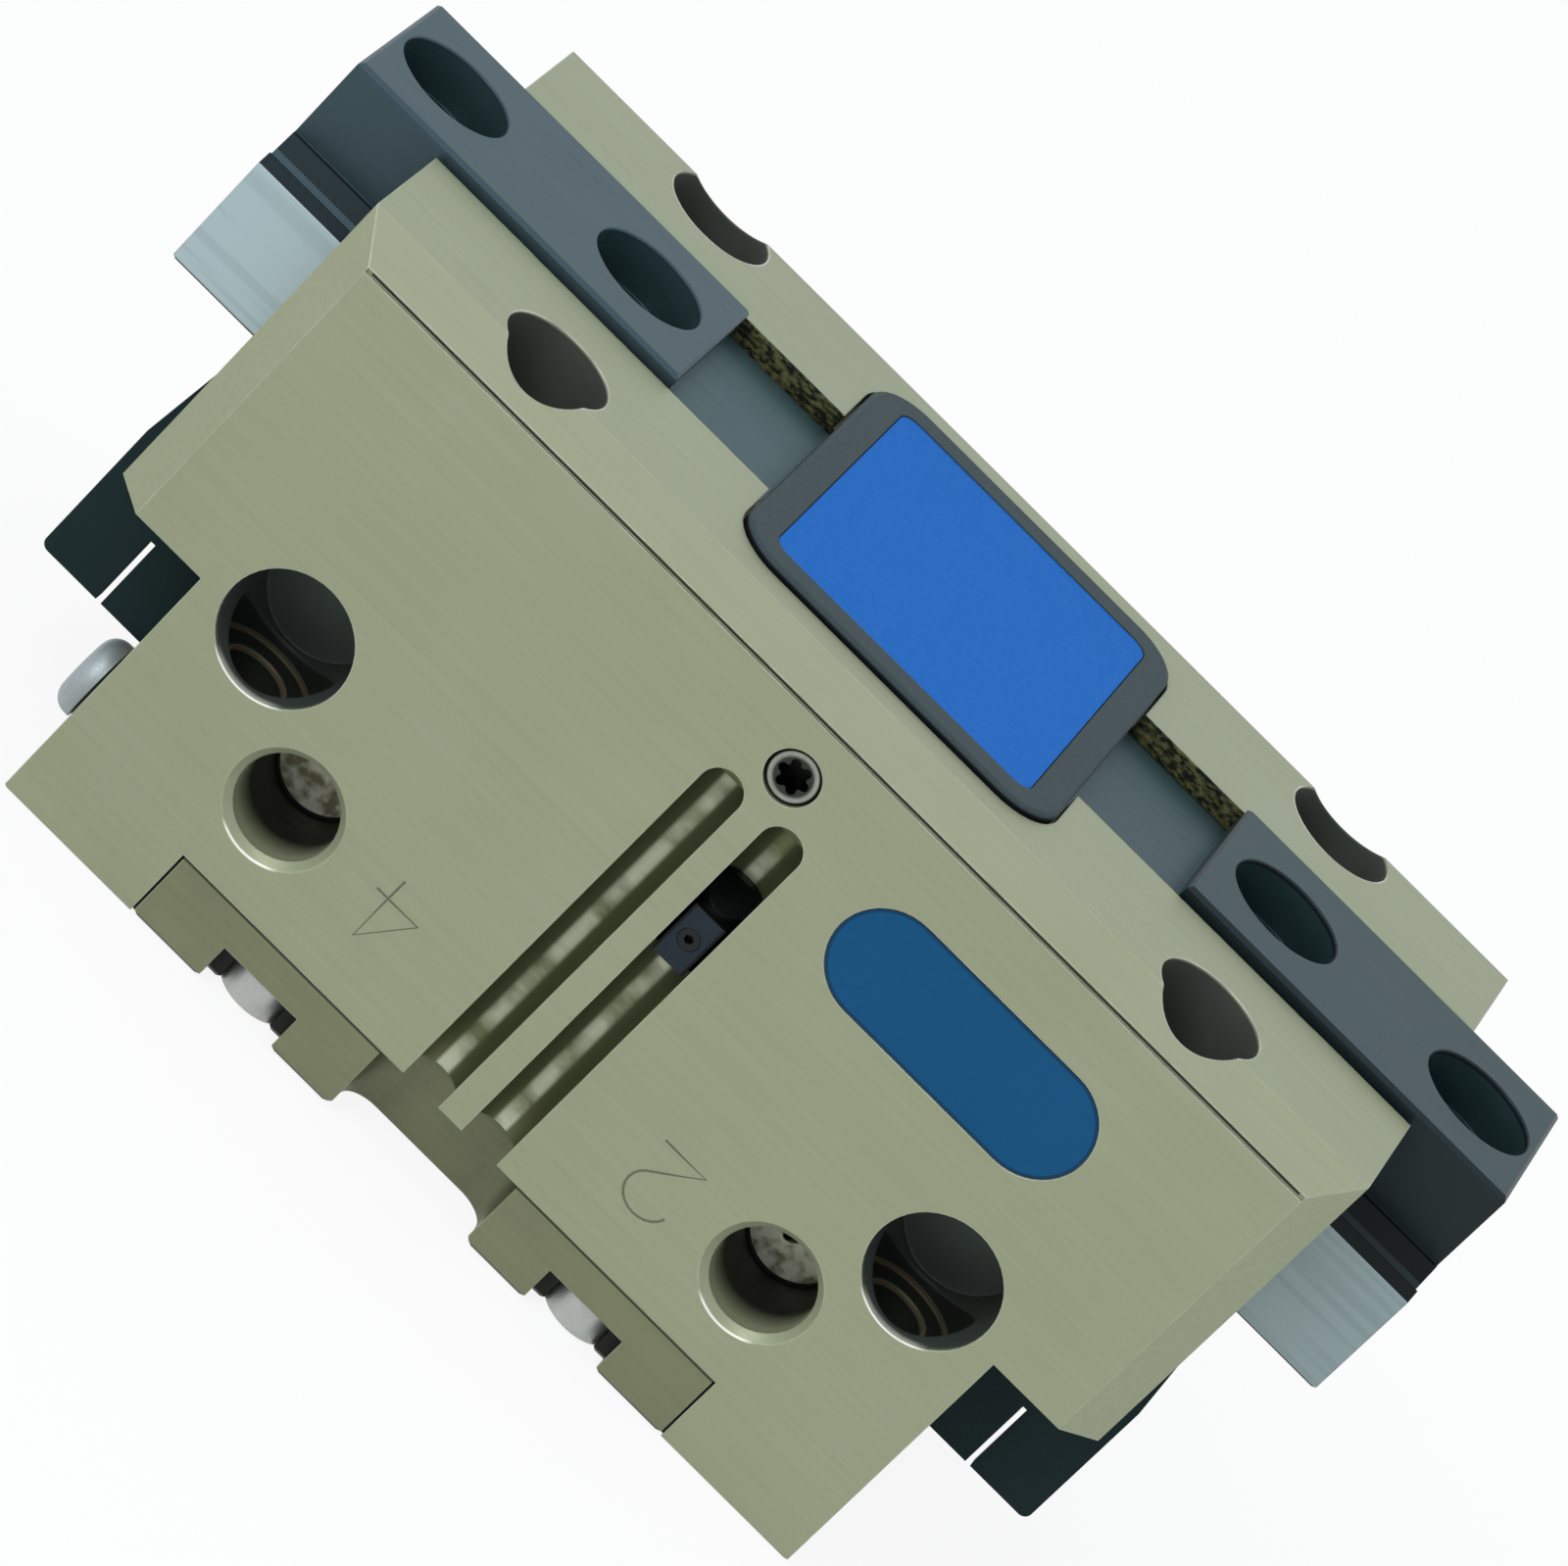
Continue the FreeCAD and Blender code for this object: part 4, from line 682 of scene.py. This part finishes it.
# Zinc-plated steel screws, barrel plated: pale grey with soft clouds.
SCREW_ZINC = Finish(
    "zinc-plated steel, barrel plated", "#B9BDB8", "#9DA29E", metallic=0.85, roughness=0.42, mottle=2.0,
    mottle_share=0.5, grit=0.25, grit_depth=0.001, edge=0.12)

# Set screw of steel, plated, with painted shade round its thread, on the rim of its socket and, darkest, inside
# it.
PURGE_STEEL = Finish(
    "plated steel, dulled", "#9BA096", "#73776C", metallic=0.8, roughness=0.36, mottle=1.2, mottle_share=0.5,
    grit=0.15, edge=0.12,
    zones=(Zone("#2A2C24", ring=(2.5, 9.0), centre=PURGE_AT, rim=0.15),
           Zone("#34372F", ring=(0.0, 1.85), centre=PURGE_AT, rim=0.3),
           Zone("#0B0C0A", y=(0.0, 32.7), ring=(0.0, 2.2), centre=PURGE_AT, fade=0.15)))

# Nickel-plated steel, turned and tumbled, so that it shines softly.
PLUG_NICKEL = Finish(
    "nickel-plated steel, tumbled", "#A9B2B3", "#8F9899", metallic=0.7, mottle=3.0, mottle_share=0.45,
    grit_depth=0.001, edge=0.12)

# Acetal, moulded black; painted shade makes it blacker above its head and at both sides, where it sits in the
# slot.
STOP_ACETAL = Finish(
    "moulded acetal, black", "#222C34", "#1B232A", roughness=0.42, shine=0.15, mottle=2.5, mottle_share=0.5,
    grit=0.15, grit_depth=0.006, edge=0.1,
    zones=tuple(Zone("#090A0B", **limits) for limits in ({"z": (STOP_TOP_Z, BEYOND)}, {"x": (0.0, 2.1)},
                                                         {"x": (5.4, 9.0)})))

# Nitrile rubber, moulded: dull black.
SEAL_RUBBER = Finish(
    "moulded nitrile rubber, black", "#1B1B1C", "#141415", roughness=0.62, mottle=3.0, grit=0.12,
    grit_depth=0.005, edge=0.1)

# Hardened tool steel, ground along the slope of the wedge: fine bright lines.
WEDGE_STEEL = Finish(
    "hardened steel, ground", "#8F959A", "#70777C", metallic=0.95, roughness=0.3, mottle=8.0,
    mottle_share=0.5, grit=0.15, grit_depth=0.003, streaks=Streaks(Axis.Z, 10.0, 0.2, 0.004))

# Steel rod, hard chromed and polished round, so that it mirrors.
ROD_CHROME = Finish(
    "hard-chromed steel, polished", "#D2D4D6", "#B4B7BA", metallic=1.0, roughness=0.14, roughness_swing=0.03,
    mottle=5.0, mottle_share=0.3, grit=0.1, grit_depth=0.001)

# Aluminium, milled all round: pale with short cutter lines.
PISTON_ALUMINIUM = Finish(
    "aluminium, milled", "#C3C4C3", "#A1A3A3", metallic=0.95, roughness=0.33, mottle=6.0, mottle_share=0.45,
    grit_depth=0.003, streaks=Streaks(Axis.X, 8.0, 0.3, 0.005))

# Filled PTFE, skived into a strip: dull dark green.
GUIDE_STRIP = Finish("filled PTFE, skived", "#2F4A43", "#263C37", roughness=0.55, mottle=3.0)

# Magnet, nickel plated: smooth and bright, a little warm.
MAGNET_NICKEL = Finish(
    "nickel-plated magnet", "#B9B8B2", "#96958F", metallic=1.0, roughness=0.22, mottle=2.0, grit=0.1,
    grit_depth=0.001)

# Steel screw, blackened and oiled: dark with a soft shine.
SCREW_BLACK = Finish(
    "blackened steel, oiled", "#2A2B2D", "#1E1F21", metallic=0.8, roughness=0.36, mottle=3.0,
    mottle_share=0.5, grit=0.15, grit_depth=0.003)

# Engraved line in anodised aluminium: bare metal darkened by dirt.
ENGRAVING = Finish(
    "engraved aluminium, darkened", "#696D59", "#5A5D4B", metallic=0.3, roughness=0.6, mottle=1.5,
    mottle_share=0.5, edge=0.02)

NODE_FINISHES: dict[str, Finish] = {
    "housing": HOUSING_ANODISE,
    "bottom_cover": COVER_ANODISE,
    "cover_seal": SEAL_RUBBER,
    "cover_screws": SCREW_ZINC,
    "rod_seal": SEAL_RUBBER,
    "top_cap": CAP_NYLON,
    "cap_label": CAP_FILM,
    "cap_screws": SCREW_ZINC,
    "type_label": TYPE_FILM,
    "purge_screw": PURGE_STEEL,
    "slot_stop": STOP_ACETAL,
    "slot_stop_screw": SCREW_BLACK,
    "sensor_bracket_right": BRACKET_BLACK,
    "sensor_bracket_left": BRACKET_BLACK,
    "bracket_screws": SCREW_ZINC,
    "clamp_screws": SCREW_ZINC,
    "side_plug": PLUG_NICKEL,
    "side_plug_washer": SEAL_RUBBER,
    "base_port_screws": SCREW_ZINC,
    "wedge_hook": WEDGE_STEEL,
    "piston_rod": ROD_CHROME,
    "piston": PISTON_ALUMINIUM,
    "piston_seal": SEAL_RUBBER,
    "piston_guide_ring": GUIDE_STRIP,
    "piston_magnets": MAGNET_NICKEL,
    "piston_screw": SCREW_BLACK,
    "jaw_right": JAW_STEEL_SHADED_SIDE,
    "jaw_left": JAW_STEEL_LIT_SIDE,
    "control_cam_right": WEDGE_STEEL,
    "control_cam_left": WEDGE_STEEL,
    "cam_screws_right": SCREW_ZINC,
    "cam_screws_left": SCREW_ZINC,
}


@dataclass
class Paintbox:
    """Builds each finish once and hands it out.

    Attributes:
        made: The materials built so far, by the name of the finish.
    """

    made: dict[str, bpy.types.Material] = field(default_factory=dict)

    def dress(self, piece: bpy.types.Object, finish: Finish) -> None:
        """Give a piece one finish all over.

        Args:
            piece: Object that gets the material.
            finish: Finish that it is made of.
        """
        if finish.name not in self.made:
            self.made[finish.name] = finish.build()
        piece.data.materials.clear()
        piece.data.materials.append(self.made[finish.name])


def add_object(name: str, data: bpy.types.ID) -> bpy.types.Object:
    """Make an object and add it to the scene.

    Args:
        name: Name of the object.
        data: Its mesh, curve, light or camera.

    Returns:
        The new object.
    """
    piece = bpy.data.objects.new(name, data)
    bpy.context.scene.collection.objects.link(piece)
    return piece


def bent_tube(name: str, corners: list[Triple], width: float, rings: int, capped: bool) -> bpy.types.Object:
    """Make a round tube that runs straight from corner to corner.

    Args:
        name: Name of the object and of its curve.
        corners: Corners of its middle line in millimetres.
        width: Thickness of the tube in millimetres.
        rings: How finely its round is cut.
        capped: Whether its ends are closed.

    Returns:
        The curve object.
    """
    curve = bpy.data.curves.new(name, "CURVE")
    curve.dimensions = "3D"
    curve.bevel_depth = width / 2 * MM
    curve.bevel_resolution = rings
    curve.use_fill_caps = capped
    line = curve.splines.new("POLY")
    line.points.add(len(corners) - 1)
    for point, (x, y, z) in zip(line.points, corners):
        point.co = (x * MM, y * MM, z * MM, 1.0)
    return add_object(name, curve)


@dataclass
class CadNodes:
    """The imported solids, which stay where they are and get their finishes.

    Attributes:
        paint: Where the finishes come from.
    """

    paint: Paintbox

    def build(self) -> list[str]:
        """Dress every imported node.

        Returns:
            One line of report per node.
        """
        for name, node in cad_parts.items():
            self.paint.dress(node, NODE_FINISHES[name])
        return [f"{name}: {NODE_FINISHES[name].name}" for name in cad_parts]


@dataclass
class PortMarks:
    """Plain numerals engraved beside the air ports, upside down as seen with the jaws on top.

    Attributes:
        paint: Where the finishes come from.
        width: Width of a numeral in millimetres.
        height: Height of a numeral in millimetres.
        stroke: Width of the engraved line in millimetres.
        proud: How far the line's tube stands out of the face in millimetres, so that the line shows.
        level: Height of the numerals' middles in millimetres.
        places_x: Middle of each numeral along X in millimetres.
    """

    paint: Paintbox
    width: float = 5.2
    height: float = 7.6
    stroke: float = 0.6
    proud: float = 0.055
    level: float = HEIGHT - 47.8
    places_x: tuple[tuple[str, float], ...] = (("4", -17.0), ("2", 17.8))

    def outline(self, digit: str) -> list[Span]:
        """Line of one numeral in a unit box, from its lower left corner.

        Args:
            digit: "2" or "4".

        Returns:
            Corners of the line.
        """
        if digit == "4":
            return [(0.72, 0.0), (0.72, 1.0), (0.0, 0.32), (1.0, 0.32)]
        turns = [math.radians(angle) for angle in range(165, -46, -15)]
        bow = [(0.5 + 0.5 * math.cos(turn), 0.69 + 0.31 * math.sin(turn)) for turn in turns]
        return bow + [(0.0, 0.0), (1.0, 0.0)]

    def numeral(self, digit: str, middle: float) -> str:
        """One numeral, turned half a turn about its middle.

        Args:
            digit: "2" or "4".
            middle: Its middle along X in millimetres.

        Returns:
            Name of the piece.
        """
        depth = FRONT + self.stroke / 2 - self.proud
        corners = [(middle - (u - 0.5) * self.width, depth, self.level - (v - 0.5) * self.height)
                   for u, v in self.outline(digit)]
        piece = bent_tube("port_mark_" + digit, corners, self.stroke, 2, capped=False)
        self.paint.dress(piece, ENGRAVING)
        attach(piece, "body")
        return piece.name

    def build(self) -> list[str]:
        """Make both numerals, and name them."""
        return [self.numeral(digit, middle) for digit, middle in self.places_x]


@dataclass
class CoverGapShade:
    """Thin black strips put in the gaps at both ends of the bottom cover as painted shade.

    Attributes:
        paint: Where the finishes come from.
        at_x: Middle of the gap from the middle of the gripper in millimetres.
        reach_y: Distance of the upright ends from the middle in millimetres.
        low: Lower end of the strip in millimetres.
        high: Height of its level run in millimetres.
        width: Width of the gap in millimetres.
    """

    paint: Paintbox
    at_x: float = 34.175
    reach_y: float = 32.7
    low: float = 0.25
    high: float = 7.8
    width: float = 0.25

    def bead(self, name: str, x: float) -> str:
        """One strip of painted shade: up the front, along the gap and down the back.

        Args:
            name: Name of the strip.
            x: Place of the strip along X in millimetres.

        Returns:
            Name of the piece.
        """
        corners = [(x, -self.reach_y, self.low), (x, -self.reach_y, self.high), (x, self.reach_y, self.high),
                   (x, self.reach_y, self.low)]
        piece = bent_tube(name, corners, self.width, 3, capped=True)
        # The strip takes the black rubber finish and stands for the shade in the gap.
        self.paint.dress(piece, SEAL_RUBBER)
        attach(piece, "body")
        return piece.name

    def build(self) -> list[str]:
        """Make both strips of painted shade, and name them."""
        return [self.bead("cover_bead_right", self.at_x), self.bead("cover_bead_left", -self.at_x)]


@dataclass(frozen=True)
class Softbox:
    """Square soft lamp that points at the middle of the gripper.

    Attributes:
        name: Name of the lamp.
        at: Position in millimetres.
        size: Side of the square in millimetres.
        power: Power in watts.
    """

    name: str
    at: Triple
    size: float
    power: float

    def build(self) -> str:
        """Hang the lamp.

        Returns:
            Name of the lamp.
        """
        data = bpy.data.lights.new(self.name, "AREA")
        data.size = self.size * MM
        data.energy = self.power
        lamp = add_object(self.name, data)
        lamp.location = Vector(self.at) * MM
        aim = Vector((0.0, 0.0, HEIGHT / 2 * MM)) - lamp.location
        lamp.rotation_mode = "QUATERNION"
        lamp.rotation_quaternion = aim.to_track_quat("-Z", "Y")
        return lamp.name


@dataclass
class Studio:
    """Floor, world, lamps and camera.

    Attributes:
        floor_hex: Colour of the floor.
        floor_reach: Half the side of the floor in millimetres.
        floor_level: Height of the floor in millimetres, just under the gripper.
        floor_glow: How far the floor shows white to the camera, zero to one; the rest keeps the shadow.
        sky: Linear colour of the surround, a little cool.
        sky_light: Strength with which the surround lights the gripper; where it is seen, it is white.
        softboxes: The lamps.
        sensor: Width of the camera's sensor in millimetres.
        lens: Focal length in millimetres.
        clip: Least and greatest distance that the camera sees, in metres.
        camera_at: Camera position in millimetres, with Z from the bottom of the gripper.
        azimuth: Angle of the sight line about Z in degrees.
        elevation: Height of the camera above the horizon in degrees.
        lean: Roll of the camera in degrees before the picture's own turn.
        turn: Share of the level right and level up directions in the picture's right direction.
    """

    floor_hex: str = "#F4F4F2"
    floor_reach: float = 4000.0
    floor_level: float = -0.05
    floor_glow: float = 0.88
    sky: Colour = (0.95, 1.0, 1.07, 1.0)
    sky_light: float = 0.76
    softboxes: tuple[Softbox, ...] = (Softbox("key_softbox", (-500.0, -700.0, 700.0), 500.0, 3.7),
                                      Softbox("top_softbox", (200.0, 200.0, 900.0), 600.0, 0.4))
    sensor: float = 36.0
    lens: float = 226.9
    clip: Span = (0.05, 20.0)
    camera_at: Triple = (-12.657, -839.587, 353.333 + HEIGHT)
    azimuth: float = -0.883
    elevation: float = 24.278
    lean: float = 0.336
    turn: Span = (0.7093, 0.7048)

    def camera(self) -> str:
        """Place the camera where the photograph was taken from.

        Returns:
            Name of the camera.
        """
        azimuth, elevation, lean = map(math.radians, (self.azimuth, self.elevation, self.lean))
        back = Vector((math.sin(azimuth) * math.cos(elevation), -math.cos(azimuth) * math.cos(elevation),
                       math.sin(elevation)))
        level_right = Vector((math.cos(azimuth), math.sin(azimuth), 0.0))
        level_up = back.cross(level_right)
        right = level_right * math.cos(lean) + level_up * math.sin(lean)
        upward = level_up * math.cos(lean) - level_right * math.sin(lean)
        image_right = (right * self.turn[0] + upward * self.turn[1]).normalized()
        image_up = back.cross(image_right)
        data = bpy.data.cameras.new("camera")
        data.sensor_width = self.sensor
        data.lens = self.lens
        data.clip_start, data.clip_end = self.clip
        camera = add_object("camera", data)
        facing = Matrix((image_right, image_up, back)).transposed().to_4x4()
        camera.matrix_world = Matrix.Translation(Vector(self.camera_at) * MM) @ facing
        bpy.context.scene.camera = camera
        return camera.name

    @staticmethod
    def seen(tree: Tree, path: bpy.types.Node) -> Socket:
        """Where a ray comes from the camera, from a mirroring surface or through a clear one.

        Args:
            tree: Node tree that gets the nodes.
            path: Its Light Path node.

        Returns:
            Factor socket, one for such a ray and else zero.
        """
        seen = path.outputs["Is Camera Ray"]
        for kind in ("Is Glossy Ray", "Is Transmission Ray"):
            both = put(tree, "ShaderNodeMath", {0: seen, 1: path.outputs[kind]}, operation="MAXIMUM")
            seen = both.outputs[0]
        return seen

    def floor(self) -> str:
        """Large pale floor that shows white to the camera and keeps a soft shadow.

        Returns:
            Name of the floor.
        """
        reach, level = self.floor_reach * MM, self.floor_level * MM
        mesh = bpy.data.meshes.new("floor")
        mesh.from_pydata([(-reach, -reach, level), (reach, -reach, level), (reach, reach, level),
                          (-reach, reach, level)], [], [(0, 1, 2, 3)])
        material = bpy.data.materials.new("pale paper floor")
        tree = bare_tree(material)
        path = put(tree, "ShaderNodeLightPath")
        share = put(tree, "ShaderNodeMath", {0: self.seen(tree, path), 1: self.floor_glow},
                    operation="MULTIPLY")
        paper = put(tree, "ShaderNodeBsdfDiffuse", {"Color": linear(self.floor_hex)})
        glow = put(tree, "ShaderNodeEmission", {"Color": WHITE, "Strength": 1.0})
        mix = put(tree, "ShaderNodeMixShader", {0: share.outputs[0], 1: paper.outputs[0], 2: glow.outputs[0]})
        put(tree, "ShaderNodeOutputMaterial", {"Surface": mix.outputs[0]})
        piece = add_object("floor", mesh)
        piece.data.materials.append(material)
        return piece.name

    def world(self) -> str:
        """Even studio surround, white where it is seen or mirrored.

        Returns:
            Name of the world.
        """
        world = bpy.data.worlds.new("studio")
        bpy.context.scene.world = world
        tree = bare_tree(world)
        path = put(tree, "ShaderNodeLightPath")
        strength = put(tree, "ShaderNodeMapRange", {"Value": self.seen(tree, path), "To Min": self.sky_light,
                                                    "To Max": 1.0})
        tint = put(tree, "ShaderNodeMix", {
            "Factor": path.outputs["Is Camera Ray"], MIX_A: self.sky, MIX_B: WHITE}, data_type="RGBA")
        glow = put(tree, "ShaderNodeBackground", {"Color": tint.outputs[MIX_RESULT],
                                                  "Strength": strength.outputs["Result"]})
        put(tree, "ShaderNodeOutputWorld", {"Surface": glow.outputs[0]})
        return world.name

    def build(self) -> list[str]:
        """Set up the whole studio.

        Returns:
            Names of its pieces.
        """
        bpy.context.scene.view_settings.view_transform = "Standard"
        return [self.camera(), self.floor(), self.world()] + [softbox.build() for softbox in self.softboxes]


def main() -> None:
    """Build the sub-assemblies in order and report each of their pieces."""
    logging.basicConfig(level=logging.INFO, format="%(name)s: %(message)s")
    paint = Paintbox()
    for assembly in (Studio(), CadNodes(paint), PortMarks(paint), CoverGapShade(paint)):
        for piece in assembly.build():
            LOG.info("%s, %s", type(assembly).__name__, piece)


if __name__ == "__main__":
    main()
